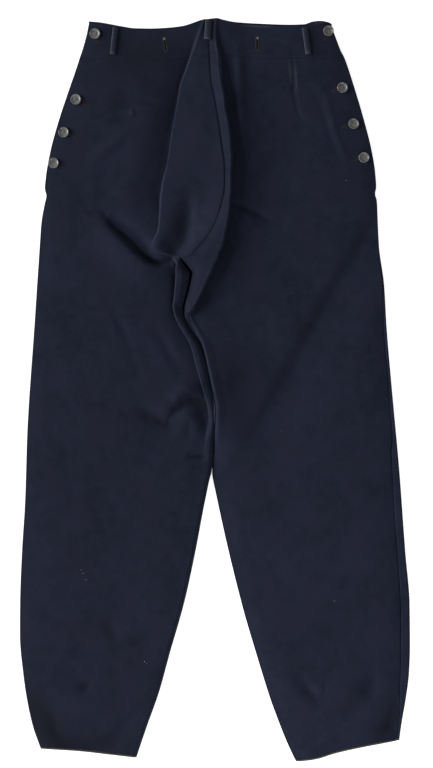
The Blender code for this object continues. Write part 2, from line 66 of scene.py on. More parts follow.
leftSide = table("down across", [
    (4, -185.4), (26, -189.6), (64, -200.5), (105, -214.6), (149, -229.3), (193, -241.4),
    (233, -248.6), (250, -250.0), (261, -247.8), (272, -250.2), (302, -255.3), (333, -257.5),
    (450, -265.3), (609, -275.9), (708, -279.0), (784, -283.7), (861, -286.5), (905, -286.7),
    (966, -281.5), (1010, -275.2), (1047, -267.1), (1072, -258.5), (1092, -250.5)])
rightSide = table("down across", [
    (8, 171.4), (26, 176.4), (64, 192.2), (105, 205.7), (149, 218.7), (193, 229.8),
    (226, 235.2), (248, 236.7), (258, 235.1), (268, 237.7), (302, 239.2), (333, 240.8),
    (392, 248.6), (450, 251.9), (542, 259.7), (661, 270.6), (784, 279.7), (861, 286.0),
    (921, 286.5), (966, 285.0), (1010, 280.3), (1058, 273.3), (1092, 269.0)])
centre = table("down line gap", [
    (0, -10.4, 0), (36, -10.1, 0), (73, -8.1, 0), (95, -6.3, 0), (114, -2.0, 0), (136, 2.0, 0),
    (183, 8.9, 0), (227, 14.2, 0), (250, 13.7, 0), (271, 9.9, 0), (303, -0.6, 0),
    (328, -16.5, 0), (343, -29.8, 0), (349, -35.0, 0), (352, -50.4, 1.8), (358, -46.5, 4.4),
    (367, -40.1, 5.2), (375, -34.8, 4.0), (379, -35.2, 3.2), (399, -39.3, 2.8),
    (414, -43.2, 2.8), (424, -46.2, 3.6), (434, -46.2, 2.8), (446, -42.3, 2.2),
    (462, -32.8, 2.4), (477, -22.8, 3.2), (490, -17.9, 2.6), (511, -12.6, 1.6),
    (556, -1.6, 1.5), (575, 0.9, 1.3), (600, 0.3, 1.1), (624, -2.3, 0.9), (661, -4.3, 0.8),
    (669, -5.0, 1.5), (678, -5.6, 5.4), (708, -5.6, 17.9), (784, -4.4, 49.2), (861, -3.3, 85.4),
    (921, -3.2, 119.9), (987, -1.8, 160.7), (1031, -1.0, 195.5), (1060, 0.4, 219.2),
    (1092, 3.4, 246.1)])
leftFold = table("down reach lift turn crest foot inner hollow dip", [
    (0, 6, 0.8, 14, 5, 8, 4.6, 0, 0), (18, 12, 1.8, 30, 4, 7, 6.4, 0, 0.5),
    (56, 25, 3.8, 70, 1.8, 3.4, 10.8, 0.5, 2.6), (112, 50, 6.2, 90, 1.4, 2.6, 15.4, 0.4, 5.2),
    (190, 76, 8.0, 90, 1.4, 2.6, 18.4, 0.4, 6.0), (256, 91, 9.2, 84, 1.8, 3.4, 18.8, -1.6, 5.0),
    (286, 86, 6.6, 86, 1.3, 2.4, 18.4, -4.6, 2.4), (314, 77, 3.8, 80, 1.4, 2.6, 16.8, -7.2, 1.2),
    (333, 71, 1.5, 30, 5.0, 9.0, 16.2, -8.4, 0.4), (343, 56, 0.7, 12, 6.0, 9.0, 15.8, -7.4, 0),
    (349, 31, 2.2, 24, 5.5, 7.8, 15.4, -3, 0), (352, 9, 4.8, 42, 4.1, 5.2, 14, 0.3, 0),
    (358, 8, 8.5, 80, 1.8, 2.4, 11, 0.6, 1.0), (367, 14.5, 10.5, 104, 1.5, 1.9, 9.4, 0.8, 1.6),
    (375, 20.5, 11.1, 104, 2.0, 1.9, 8.6, 1.6, 2.0), (392, 19, 11.1, 104, 2.0, 1.9, 8.2, 1.6, 2.4),
    (415, 15.5, 10.2, 104, 1.8, 1.9, 7.4, 1.2, 2.6), (428, 13, 8.4, 104, 1.5, 1.9, 5.6, -0.8, 3.4),
    (444, 11.5, 6.6, 100, 1.4, 1.8, 8.6, 0.6, 4.2), (467, 12, 6.2, 98, 1.4, 1.8, 9.2, 0.8, 4.2),
    (502, 13.5, 5.0, 92, 1.4, 1.8, 8.4, 0.8, 4.2), (546, 12.5, 3.0, 88, 1.3, 1.5, 7.2, 0.5, 4.2),
    (568, 10.5, 2.2, 84, 1.3, 1.6, 5.3, 0.5, 3.6), (624, 10, 1.2, 20, 4, 8, 7.2, 0.3, 0),
    (661, 10, 0.3, 4, 6, 8, 6.6, 0.1, 0), (708, 22, 0.05, 2, 6, 8, 6.6, 0, 0),
    (1092, 22, 0.05, 2, 6, 8, 6.6, 0, 0)])
rightFold = table("down reach lift turn crest foot inner hollow dip", [
    (0, 14, 0.8, 14, 5, 8, 4.6, 0, 0), (17, 12, 1.9, 22, 4, 8.1, 5.8, 0, 0),
    (67, 15, 6.9, 64, 2.6, 4.9, 11.2, 0.4, 0), (105, 16, 11.4, 108, 2.1, 2.6, 14.6, 0.4, 0),
    (136, 14, 12.8, 136, 1.9, 2.1, 16, 0.4, 0), (164, 15, 13, 150, 1.9, 1.9, 17, 0.4, 0),
    (199, 13, 13.3, 158, 1.9, 1.9, 17.5, 0.3, 0), (233, 9.5, 13.3, 161, 1.9, 1.9, 18, 0.1, 0),
    (259, 10.5, 13.3, 161, 1.9, 1.9, 18.1, 0.1, 0), (286, 15, 13.3, 161, 1.9, 1.9, 18.1, 0.3, 0),
    (311, 21, 13, 160, 1.9, 1.9, 17.7, 0.6, 0), (336, 34, 12.7, 158, 1.9, 1.9, 16.5, 1.1, 0),
    (349, 40, 12.6, 157, 1.9, 1.9, 15.8, 1.4, 0), (352, 54, 12.5, 156, 1.9, 1.9, 15.5, 1.7, 0),
    (358, 45.5, 12.5, 155, 1.9, 1.9, 15.5, 1.7, 0), (367, 35, 12.8, 153, 1.9, 1.9, 15.4, 1.4, 0),
    (375, 26.5, 12.5, 152, 1.9, 1.9, 15.3, 1, 0), (381, 24.5, 12.2, 150, 1.9, 1.9, 15.3, 0.9, 0),
    (402, 20, 10.8, 138, 1.9, 1.9, 13.6, 0.6, 0), (424, 14, 8.6, 96, 1.9, 2.4, 12.6, 0.5, 0),
    (437, 6, 4.4, 30, 3, 8, 10.0, 0.4, 0), (450, 4.5, 2.2, 12, 3, 14, 7.4, 0.3, 0),
    (490, 4.5, 1.6, 8, 3, 14, 6.8, 0.3, 0), (556, 5, 1.4, 8, 3, 14, 6.6, 0.3, 0),
    (624, 6, 1.0, 7, 3, 14, 6.4, 0.3, 0), (661, 14, 0.3, 4, 6, 8, 6.6, 0.1, 0),
    (708, 22, 0.05, 2, 6, 8, 6.6, 0, 0), (1092, 22, 0.05, 2, 6, 8, 6.6, 0, 0)])
dipSpread = table("down width", [(0, 24), (340, 24), (356, 6), (428, 6), (446, 11), (492, 22),
                                 (540, 22), (1092, 24)])
rightTurnover = table("down width height", [
    (58, 0, 1.4), (300, 0, 1.4), (330, 0, 1.4), (362, 1.6, 1.4), (392, 2.2, 2.4), (450, 4, 3.6),
    (609, 6, 4.0), (645, 11, 4.1), (784, 12.5, 4.1), (861, 14, 4.1), (921, 14, 4.1),
    (987, 12, 4.1), (1035, 5, 4.1), (1092, 3.5, 4.1)])
backSeam = table("down across", [
    (0, -6), (64, -6.5), (200, -12), (330, -28), (400, -33), (430, -39), (446, -35),
    (462, -26), (490, -11), (520, -3), (556, 4.8), (578, 6), (600, 0.3)])
waistEdge = table("across down", [
    (-186, 4.2), (-169, 6.2), (-140, 11.6), (-118, 15.0), (-94, 15.4), (-66, 14.0), (-46, 11.4),
    (-32, 7.0), (-20, 2.8), (-8, 0.8), (2, 0.2), (12, 2.6), (29, 6.0), (66, 8.4), (110, 9.8),
    (130, 9.2), (143, 5.2), (154, 3.8), (166, 5.6), (172, 8.6)])
bandEdge = table("across down", [
    (-199, 57.5), (-118, 60.6), (-55, 60.2), (-20, 55.0), (3, 52.5), (22, 55.0), (90, 59.4),
    (150, 58.6), (191, 57.5)])
leftHem = table("across down", [
    (-260, 1072.6), (-205, 1075.6), (-155, 1080.8), (-116, 1085.4)])
rightHem = table("across down", [
    (124, 1091.4), (147, 1088.0), (176, 1079.0), (213, 1070.6), (275, 1059.6)])

# Strokes: a height, a width and the photo's pixels along a soft line. A pair of widths is for
# the left and the right of the line's direction. These are troughs and ridges, in mm.
creases = {
    "trough round the crotch": (-8.5, (4.5, 13), (106, 217), (113, 223), (121, 229.5), (130, 237),
        (140, 247), (149, 256), (153, 260)),
    "swell below the trough": (7, (28, 8), (98, 222), (106, 230), (115, 238), (125, 247.5),
        (135, 257), (145, 265.5), (157, 270), (166, 270), (173, 268)),
    "swell above the trough": (0.8, 22, (112, 186), (126, 204), (142, 222), (150, 228)),
    "swell left of the tongue": (2.6, (30, 26), (178, 60), (158, 100), (142, 140), (134, 180),
        (132, 210)),
    "end of the trough": (-9, (4, 4.5), (138, 246), (146, 255), (154, 261.5), (162, 263),
        (169, 261.5), (176, 257)),
    "right dart": (-1.7, 1.8, (292, 54), (292.5, 72), (293.5, 92), (296.5, 108), (303, 124)),
    "slope right of the crack": (7, (2, 42), (190, 312), (193, 322), (204, 342), (209, 360),
        (213, 380), (215.5, 400), (217, 436), (216, 470)),
    "slope right of the centre fold": (2.8, (18, 50), (225, 96), (230, 140), (231, 180), (229, 214),
        (224, 240), (212, 270), (199, 300)),
    "darker patch on the left calf": (-1.4, 9, (104, 622), (113, 632), (120, 648)),
    "lip of the pouch": (2, (12, 9), (158, 238), (155, 246), (153, 252), (156, 256.5), (162, 258),
        (170, 256)),
    "hollow inside the pouch": (-4.6, (12, 9), (190, 196), (189.5, 208), (188, 222), (185, 236),
        (180, 246), (173, 253), (166, 256)),
    "trough beside the left leg fold": (-1.3, (9, 8), (155, 328), (164, 344), (174, 360), (186, 376)),
    "ridge outside that trough": (0.8, (12, 10), (152, 340), (160, 354), (172, 372)),
    "swell above the left knee": (6, (5, 14), (173, 403), (180, 396), (188, 392), (197, 391),
        (204, 393)),
    "arch above the left knee": (-8.5, (9, 3.6), (169, 419), (175, 410), (183, 403.5), (192, 400.5),
        (200, 401.5), (205, 406), (208, 416), (208, 430)),
    "swell inside that arch": (3.2, 11, (178, 436), (183, 424), (189, 417), (194, 424), (197, 434)),
    "crease above the parting": (-1.8, 2.6, (186, 457.5), (194, 457.5), (202, 456.5), (210, 455)),
    "sag at the left knee": (-3.6, 8, (136, 405), (148, 412), (160, 417), (174, 418)),
    "swell under the sag": (0.8, 12, (134, 420), (148, 434), (166, 442)),
    "ridge across the left thigh": (0.8, (6, 8), (106, 306), (119, 332), (130, 352)),
    "trough across the left thigh": (-1.1, 6, (114, 312), (128, 342), (141, 380)),
    "crease down the left thigh": (-0.5, 6, (100, 282), (114, 314), (131, 349)),
    "long trough down the right leg": (-4, (12, 50), (381, 216), (362, 246), (342, 281), (314, 330),
        (290, 372), (262, 424), (238, 458)),
    "short crease on the right hip": (-3.4, (4.5, 6), (229, 203), (240, 206), (252, 211), (271, 221)),
    "second crease on the right hip": (-1, 3, (284, 243), (293, 240.5), (303, 239.5), (312, 239)),
    "swell under the hip crease": (1.5, 12, (236, 218), (252, 226), (268, 234)),
    "smudge on the right hip": (-0.9, 6, (257, 159), (263, 160), (271, 162)),
    "pleat right of the centre fold": (3.2, (6, 9), (237.5, 46), (239.5, 84), (241, 120), (243, 152)),
    "edge of the right facing": (0.9, (3.5, 6), (314.6, 80), (325, 98), (329, 113), (335, 135),
        (345, 157), (348, 168)),
    "groove inside that facing": (-0.6, (5, 4), (309, 84), (319, 102), (324, 117), (330, 138),
        (340, 160)),
    "crease from the left dart": (-1.8, 3.5, (108, 125), (122, 121), (142, 118)),
    "tip of the left dart": (1.5, 3.5, (131, 111), (133, 117)),
    "smear beside the left dart": (-0.9, 3.5, (136, 104), (148, 103), (161, 104)),
    "left hip ridge": (1.8, 8, (91, 164), (108, 148), (131, 130)),
    "left hip trough": (-0.7, 6, (97, 202), (106, 195), (118, 188)),
    "crotch trough on the right thigh": (-1, (7, 9), (213, 300), (226, 290), (243, 286)),
    "swell above the left hem": (2.2, (24, 20), (45, 668), (62, 694), (90, 702), (122, 690)),
    "smile above the left hem": (-2, (9, 8), (52, 712), (56, 730), (66, 742), (95, 745), (114, 738),
        (134, 716)),
    "dimple over the left hem": (-2.6, (6, 5), (78, 683), (85, 686), (92, 682)),
    "dimple at the right hem": (-4, 8, (398, 700), (393, 716), (386, 728)),
    "shade over the right hem": (-2.6, 9, (296, 672), (306, 686), (318, 700), (330, 697)),
    "small crease at the right hem": (-1.2, 2.6, (325, 682), (324.5, 690), (322, 697)),
    "second shade over the right hem": (-3.4, 12, (340, 714), (354, 708), (367, 698), (376, 672)),
    "little crease under the crack": (-2.4, 4, (187, 457), (198, 455), (208, 455)),
}
# Rubbed, paler lines: the height is how much of the nap is gone
scuffs = {
    "waist edge": (0.75, 1.6, (240, 26.3), (250, 26.8), (262, 27.2), (276, 27.6)),
    "left of the right dart": (0.6, 2.0, (289.4, 57), (289.6, 66), (290.4, 78), (291, 90)),
    "right of the right dart": (0.5, 1.7, (295.2, 58), (295.6, 68), (296.2, 84), (297.4, 98)),
    "end of the right dart": (0.3, 2.2, (297, 106), (300, 113), (304.5, 120)),
    "right facing": (0.26, 2.6, (313, 78), (320, 88), (326, 98), (330, 112), (334, 128), (338, 142)),
    "tip of the left dart": (0.4, 2.2, (131, 110), (132.4, 114), (134, 118)),
    "left waistband": (0.2, 3.0, (126, 54), (136, 46), (148, 39)),
    "under the centre loop": (0.42, 2.2, (214, 40), (216, 48), (218.6, 58), (220.4, 70)),
    "tip of the waistband": (0.5, 1.8, (311, 26), (318, 23.2), (326, 23.4)),
    "right waistband": (0.24, 3.2, (266, 42), (276, 40), (290, 44)),
}
# Painted shade: strokes that darken the wool where folds, creases and hollows lie in shadow, at the
# hem corners and over the left of the waist; the height is how dark
stains = {
    "left of the waist": (0.62, (30, 40), (98, 66), (130, 62), (160, 58), (200, 46)),
    "beside the left dart": (0.5, 3.5, (134, 103.5), (147, 104), (162, 107)),
    "under the left dart": (0.5, 3.2, (114, 126), (126, 123.5), (142, 119)),
    "left hem corner": (1.1, 22, (28, 684), (37, 708), (47, 726), (58, 740), (74, 752)),
    "left hem": (0.6, (12, 14), (50, 740), (76, 744), (102, 744), (120, 738), (138, 722)),
    "above the left hem": (0.6, (9, 8), (76, 681), (84, 685), (94, 681)),
    "left calf": (0.5, 13, (98, 619), (107, 628), (115, 640)),
    "right hem corner": (0.75, (8, 12), (398, 700), (395, 714), (385, 728), (368, 735)),
    "right hem": (0.2, 10, (268, 656), (277, 668)),
    "end of the trough": (0.65, (3.5, 5), (128, 243), (137, 252), (147, 259), (157, 262), (166, 260),
        (173, 255)),
    "end of the knee arch": (1.6, (6, 5.5), (188, 402), (196, 402), (202, 406), (206, 413)),
    "beside the knee arch": (0.9, (5, 4), (151, 418), (158, 422), (165, 426), (172, 428)),
    "above the parting": (1.2, 3, (188, 457), (195, 457), (202, 456), (208, 455)),
    "above the left knee": (0.9, (6, 5), (180, 405), (187, 401), (195, 400.5), (202, 403), (205, 410),
        (204, 419)),
    "beside the crack": (0.34, 26, (222, 330), (228, 372), (231, 420), (230, 452)),
}


# A table's column at some places, on a smooth curve that doesn't overshoot the rows
def read(rows, column, where):
    x, y = next(iter(rows.values())), rows[column]
    step = np.diff(y) / np.diff(x)
    before, after = step[:-1], step[1:]
    even = 2 * before * after / np.where(before + after == 0, 1, before + after)
    slope = np.concatenate([[step[0]], np.where(before * after > 0, even, 0), [step[-1]]])
    where = np.clip(np.asarray(where, float), x[0], x[-1])
    i = np.clip(np.searchsorted(x, where) - 1, 0, len(x) - 2)
    span = x[i + 1] - x[i]
    t = (where - x[i]) / span
    return ((2 * t**3 - 3 * t**2 + 1) * y[i] + (t**3 - 2 * t**2 + t) * span * slope[i]
            + (3 * t**2 - 2 * t**3) * y[i + 1] + (t**3 - t**2) * span * slope[i + 1])


def smooth(t):
    t = np.clip(t, 0, 1)
    return t * t * (3 - 2 * t)


def between(where, start, end):
    return smooth((where - start) / (end - start))


# A line's points, the length of each run and how far along each point lies
def measured(points):
    line = np.array(points, float)
    runs = np.linalg.norm(np.diff(line, axis=0), axis=1)
    return line, runs, np.concatenate([[0], np.cumsum(runs)])


# A stroke fades at both ends; its left width changes to the right one over some mm
strokeShape = {"end": 0.02, "fade": 0.6, "changeOver": 4.0}


def strokeHeight(across, down, height, width, *pixels):
    line, runs, start = measured(atPixel(*pixels))
    nearest = np.full(np.broadcast(across, down).shape, 1e9)
    along = np.zeros(nearest.shape)
    onRight = np.zeros(nearest.shape)
    for (ax, ay), (bx, by), run, begin in zip(line[:-1], line[1:], runs, start):
        t = np.clip(((across - ax) * (bx - ax) + (down - ay) * (by - ay)) / run**2, 0, 1)
        gap = np.hypot(across - ax - t * (bx - ax), down - ay - t * (by - ay))
        closer = gap < nearest
        aside = (across - ax) * (by - ay) - (down - ay) * (bx - ax)
        along = np.where(closer, (begin + t * run) / start[-1], along)
        onRight = np.where(closer, aside / run, onRight)
        nearest = np.minimum(nearest, gap)
    end = strokeShape["end"]
    fade = np.sin(math.pi * np.clip(along, end, 1 - end)) ** strokeShape["fade"]
    left, right = np.broadcast_to(width, 2)
    spread = left + (right - left) * smooth(onRight / strokeShape["changeOver"] + 0.5)
    return height * fade * np.exp(-(nearest / spread) ** 2)


def strokeHeights(strokes, grid):
    return [strokeHeight(grid[..., 0], grid[..., 1], *stroke) for stroke in strokes.values()]


def innerEdge(side, down):
    gap = read(centre, "gap", down) - garment["seamLap"]
    return read(centre, "line", down) + side * gap / 2


def sideAcross(side, down):
    if side < 0:
        return read(leftSide, "across", down)
    width = read(rightTurnover, "width", down)
    return (read(rightSide, "across", down) - width
            - 2 * garment["clear"] * smooth(width / backCloth["strip"]))


def sideHeight(side, down):
    if side < 0:
        return lowest
    return max(lowest, read(rightTurnover, "height", down) - garment["wall"] / 2)


def floorHeight(side, across, down):
    inside = np.abs(sideAcross(side, down) - across)
    return sideHeight(side, down) + garment["crown"] * (1 - np.exp(-inside / garment["edgeRoll"]))


def easedIn(count, power):
    return np.linspace(0, 1, count + 1) ** power


# One row of a front's middle: the raised part, its bend, the slope, the bend at its foot, the
# cloth beside that and the rest. "counts" has the steps in the raised part, a bend, the slope,
# beside the foot and in the rest; "domed" is where along the leg the rise grows domed.
fold = {"counts": {-1: (34, 7, 5, 46, 34), 1: (28, 8, 5, 40, 52)}, "bendShare": 0.85,
        "domed": {-1: (349, 362), 1: (420, 445)}, "plateauEase": 1.35, "riseEase": 1.7,
        "restEase": 1.5, "besideReach": 80.0, "besideShare": 0.55}


def frontSection(side, down):
    rows = leftFold if side < 0 else rightFold
    plateau, bend, slope, beside, rest = fold["counts"][side]
    reach, lift, turn, crest, toe, inner, hollow, dip = [
        read(rows, column, down) for column in list(rows)[1:]]
    middle = innerEdge(side, down)
    edge, turn, drop = middle + side * reach, math.radians(turn), lift + dip
    fit = min(1, fold["bendShare"] * drop / ((crest + toe) * (1 - math.cos(turn))))
    crest, toe = crest * fit, toe * fit
    start = edge - side * crest * math.sin(min(turn, math.pi / 2))
    straight = (drop - (crest + toe) * (1 - math.cos(turn))) / math.sin(turn)
    advance = (crest + toe) * math.sin(turn) + straight * math.cos(turn)
    foot = start + side * advance
    low = floorHeight(side, foot, down) - dip
    top = low + drop
    t = easedIn(plateau, fold["plateauEase"])[:-1]
    across = [middle + (start - middle) * t]
    domed = between(down, *fold["domed"][side])
    rise = (1 - domed) * t ** fold["riseEase"] + domed * (1 - (1 - t) ** fold["riseEase"])
    height = [inner + (top - inner) * rise + hollow * np.sin(math.pi * t) ** 2]
    angle = np.linspace(0, turn, bend + 1)
    across.append(start + side * crest * np.sin(angle))
    height.append(top - crest * (1 - np.cos(angle)))
    run = np.linspace(0, straight, slope + 1)[1:-1]
    across.append(across[-1][-1] + side * run * math.cos(turn))
    height.append(height[-1][-1] - run * math.sin(turn))
    across.append(foot - side * toe * np.sin(angle[::-1]))
    height.append(low + toe * (1 - np.cos(angle[::-1])))
    outer = sideAcross(side, down)
    near = min(fold["besideReach"], fold["besideShare"] * abs(outer - foot))
    across.append(foot + side * near * np.linspace(0, 1, beside + 1)[1:])
    far = easedIn(rest, fold["restEase"])[::-1][1:]
    across.append(outer - (outer - foot - side * near) * far)
    beyond = np.concatenate(across[-2:])
    spread = read(dipSpread, "width", down)
    sunk = dip * np.exp(-np.abs(beyond - foot) / spread)
    height.append(floorHeight(side, beyond, down) - sunk)
    return np.concatenate(across), np.concatenate(height)


def hemLevel(side):
    return float((leftHem if side < 0 else rightHem)["down"].mean())


def legRows(side, bandShare=1.0):
    hem = leftHem if side < 0 else rightHem
    level = hemLevel(side)

    def bend(across, down):
        nearBand = bandShare * (1 - between(down, *garment["bandBend"]))
        nearHem = between(down, level - garment["hemBend"], level)
        return (nearBand * (read(bandEdge, "down", across) - garment["bandSeam"])
                + nearHem * (read(hem, "down", across) - level))
    return bend


def bandRows(across, down):
    t = down / garment["bandSeam"]
    top = read(waistEdge, "down", across)
    foot = read(bandEdge, "down", across)
    return top + (foot - top) * t - down


# Cloth grids: an array of rows by columns of (across, down, height), the wall's middle. Loose
# swells have a height, a size and a place in the noise.
looseness = {"broad": (0.75, 58.0, 3.1), "small": (0.16, 19.0, 7.7)}


def undulation(across, down):
    lifts = [sum(high * noise.noise((x / wide, y / wide, place))
                 for high, wide, place in looseness.values())
             for x, y in zip(across.ravel(), down.ravel())]
    return np.array(lifts).reshape(across.shape)


def arcs(grid, axis):
    steps = np.linalg.norm(np.diff(grid, axis=axis), axis=2)
    start = np.zeros_like(np.take(steps, [0], axis=axis))
    return np.concatenate([start, np.cumsum(steps, axis=axis)], axis=axis)


def edgeDistance(grid):
    rowArc, columnArc = arcs(grid, 1), arcs(grid, 0)
    return dict(inner=rowArc, outer=rowArc[:, -1:] - rowArc,
                upper=columnArc, lower=columnArc[-1:] - columnArc)


def frontGrid(side, downs, bendRows, rolls):
    rows = []
    for down in downs:
        across, height = frontSection(side, down)
        rows.append(np.stack([across, down + bendRows(across, down), height], axis=1))
    grid = np.array(rows)
    grid[..., 2] += sum(strokeHeights(creases, grid))
    grid[..., 2] += undulation(grid[..., 0], grid[..., 1])
    over = grid[..., 2] - lowest
    grid[..., 2] = lowest + (over + np.sqrt(over**2 + garment["softFloor"]**2)) / 2
    near = edgeDistance(grid)
    width, power = garment["innerRoll"][side]
    roll = between(grid[:, :1, 1], *garment["rollBelow"])
    grid[..., 2] += (lowest - grid[..., 2]) * (roll * np.exp(-(near["inner"] / width) ** power))
    for edge, depth in rolls.items():
        rim = (near[edge] / garment["rimWidth"]) ** garment["rimPower"]
        grid[..., 2] -= depth * np.exp(-rim)
    grid[..., 2] = np.maximum(grid[..., 2], lowest)
    return grid


# Both faces of a front's wall, upright at its rim
def wallSides(grid):
    along, aside = np.gradient(grid, axis=0), np.gradient(grid, axis=1)
    normal = np.cross(aside, along)
    normal /= np.linalg.norm(normal, axis=2, keepdims=True)
    if normal[len(normal) // 2, -1, 2] < 0:
        normal = -normal
    for rim in (normal[0], normal[-1], normal[:, 0], normal[:, -1]):
        rim[:] = (0, 0, 1)
    return grid + normal * garment["wall"] / 2, grid - normal * garment["wall"] / 2


def toMetres(points):
    points = np.asarray(points, float)
    return np.stack([points[..., 0] * mm, (garment["length"] / 2 - points[..., 1]) * mm,
                     points[..., 2] * mm], axis=-1)


def rimLoop(rows, columns):
    loop = [(0, c) for c in range(columns)] + [(r, columns - 1) for r in range(1, rows)]
    loop += [(rows - 1, c) for c in range(columns - 2, -1, -1)]
    return loop + [(r, 0) for r in range(rows - 2, 0, -1)]


def linked(name, data):
    made = bpy.data.objects.new(name, data)
    bpy.context.scene.collection.objects.link(made)
    return made


# Closed cloth: two faces joined round a soft rim, drawn in by "pull" mm
def shell(name, top, bottom, cloth, pull=0.28, pullShare=0.6, thinner=0.14, **marks):
    rows, columns = top.shape[:2]
    count = rows * columns
    loop = rimLoop(rows, columns)
    loopIds = np.array([r * columns + c for r, c in loop])
    top, bottom = top.reshape(-1, 3).copy(), bottom.reshape(-1, 3).copy()
    middle = (top[loopIds] + bottom[loopIds]) / 2
    inward = np.array([(min(max(r, 1), rows - 2)) * columns + min(max(c, 1), columns - 2)
                       for r, c in loop])
    towards = top[inward] - top[loopIds]
    towards[:, 2] = 0
    reach = np.maximum(np.linalg.norm(towards, axis=1, keepdims=True), 1e-6)
    shift = towards / reach * np.minimum(pull, pullShare * reach)
    thick = (top[loopIds, 2] - bottom[loopIds, 2])[:, None] * np.array([0, 0, thinner])
    top[loopIds] += shift - thick
    bottom[loopIds] += shift + thick
    verts = toMetres(np.concatenate([top, bottom, middle]))
    ids = np.arange(count).reshape(rows, columns)
    quads = np.stack([ids[:-1, :-1], ids[:-1, 1:], ids[1:, 1:], ids[1:, :-1]], axis=-1)
    quads = quads.reshape(-1, 4)
    a, b, c, d = top[quads[len(quads) // 2]]
    facesUp = np.cross(c - a, d - b)[2] < 0    # "down" runs against the frame's Y
    upper = quads if facesUp else quads[:, ::-1]
    lower = (quads[:, ::-1] if facesUp else quads) + count
    nextIds = np.roll(loopIds, -1)
    here, there = np.arange(len(loop)) + 2 * count, np.roll(np.arange(len(loop)), -1) + 2 * count
    skirts = [np.stack([loopIds, here, there, nextIds], axis=-1),
              np.stack([here, loopIds + count, nextIds + count, there], axis=-1)]
    skirts = [s if facesUp else s[:, ::-1] for s in skirts]
    faces = np.concatenate([upper, lower, *skirts])
    mesh = bpy.data.meshes.new(name)
    mesh.vertices.add(len(verts))
    mesh.vertices.foreach_set("co", verts.astype(np.float32).ravel())
    mesh.loops.add(faces.size)
    mesh.loops.foreach_set("vertex_index", faces.astype(np.int32).ravel())
    mesh.polygons.add(len(faces))
    mesh.polygons.foreach_set("loop_start", np.arange(0, faces.size, 4, dtype=np.int32))
    mesh.update(calc_edges=True)
    mesh.shade_smooth()
    middleGrid = ((top + bottom) / 2).reshape(rows, columns, 3)
    uv = np.stack([arcs(middleGrid, 1), middleGrid[..., 1]], axis=-1).reshape(-1, 2) * mm
    sources = np.concatenate([np.arange(count), np.arange(count), loopIds])
    layer = mesh.uv_layers.new(name="cloth")
    layer.data.foreach_set("uv", uv[sources[faces.ravel()]].astype(np.float32).ravel())
    for mark, share in marks.items():
        mesh.attributes.new(mark, "FLOAT", "POINT").data.foreach_set(
            "value", share.ravel()[sources].astype(np.float32))
    mesh.materials.append(cloth)
    return linked(name, mesh)


def declareSheet(grid):
    steps = np.cross(grid[1:, 1:] - grid[:-1, :-1], grid[1:, :-1] - grid[:-1, 1:])
    area = np.linalg.norm(steps, axis=2).sum() / 2 * mm * mm


# Materials: shader sums are written as Python sums on signals
class Signal:
    def __init__(self, paint, socket):
        self.paint, self.socket = paint, socket

    def sum(self, operation, *values):
        return self.paint.add("Math", dict(enumerate(values)), operation=operation)

    def __add__(self, other):
        return self.sum("ADD", self, other)

    def __sub__(self, other):
        return self.sum("SUBTRACT", self, other)

    def __rsub__(self, other):
        return self.sum("SUBTRACT", other, self)

    def __mul__(self, other):
        return self.sum("MULTIPLY", self, other)

    __radd__, __rmul__ = __add__, __mul__

    def wave(self):
        return self.sum("SINE", self) * 0.5 + 0.5

    def span(self, low, high, toLow=0.0, toHigh=1.0):
        return self.paint.add("MapRange", {
            "Value": self, "From Min": low, "From Max": high, "To Min": toLow, "To Max": toHigh},
            interpolation_type="SMOOTHSTEP")


class Paint:
    def __init__(self, name):
        self.material = bpy.data.materials.new(name)
        self.material.use_nodes = True
        self.tree = self.material.node_tree
        self.tree.nodes.clear()

    # Any node: its type, the values or links of its inputs, the output to use and its settings
    def add(self, kind, inputs=None, output=0, **settings):
        node = self.tree.nodes.new(f"ShaderNode{kind}")
        for key, value in settings.items():
            setattr(node, key, value)
        for key, value in (inputs or {}).items():
            if isinstance(value, Signal):
                self.tree.links.new(value.socket, node.inputs[key])
            else:
                node.inputs[key].default_value = value
        return Signal(self, node.outputs[output] if node.outputs else None)

    def grain(self, where, size, detail=2.0, stretch=(1, 1, 1)):
        placed = self.add("Mapping", {"Vector": where, "Scale": stretch})
        return self.add("TexNoise", {"Vector": placed, "Scale": 1 / (size * mm),
                                     "Detail": detail, "Roughness": 0.55})

    def blend(self, factor, low, high):
        return self.add("Mix", {0: factor, 6: low, 7: high}, 2, data_type="RGBA")

    def finish(self, **sockets):
        shader = self.add("BsdfPrincipled", {
            key.replace("_", " "): value for key, value in sockets.items()})
        self.add("OutputMaterial", {"Surface": shader})
        return self.material


# The wool's colours, one of them the painted shade, and the sizes in mm of its twill, its patches and
# its fibres
wool = {"deep": (0.0050, 0.0074, 0.0176, 1), "lit": (0.0120, 0.0160, 0.0342, 1),
        "violet": (0.0116, 0.0124, 0.0292, 1), "worn": (0.044, 0.051, 0.067, 1),
        "stained": (0.0040, 0.0052, 0.0110, 1), "twillPitch": 1.05, "twillWay": (0.86, 0.5),
        "patches": 95, "warmth": 38, "mottle": 15, "fuzz": 2.1, "fibres": 0.7, "bump": 0.0003}


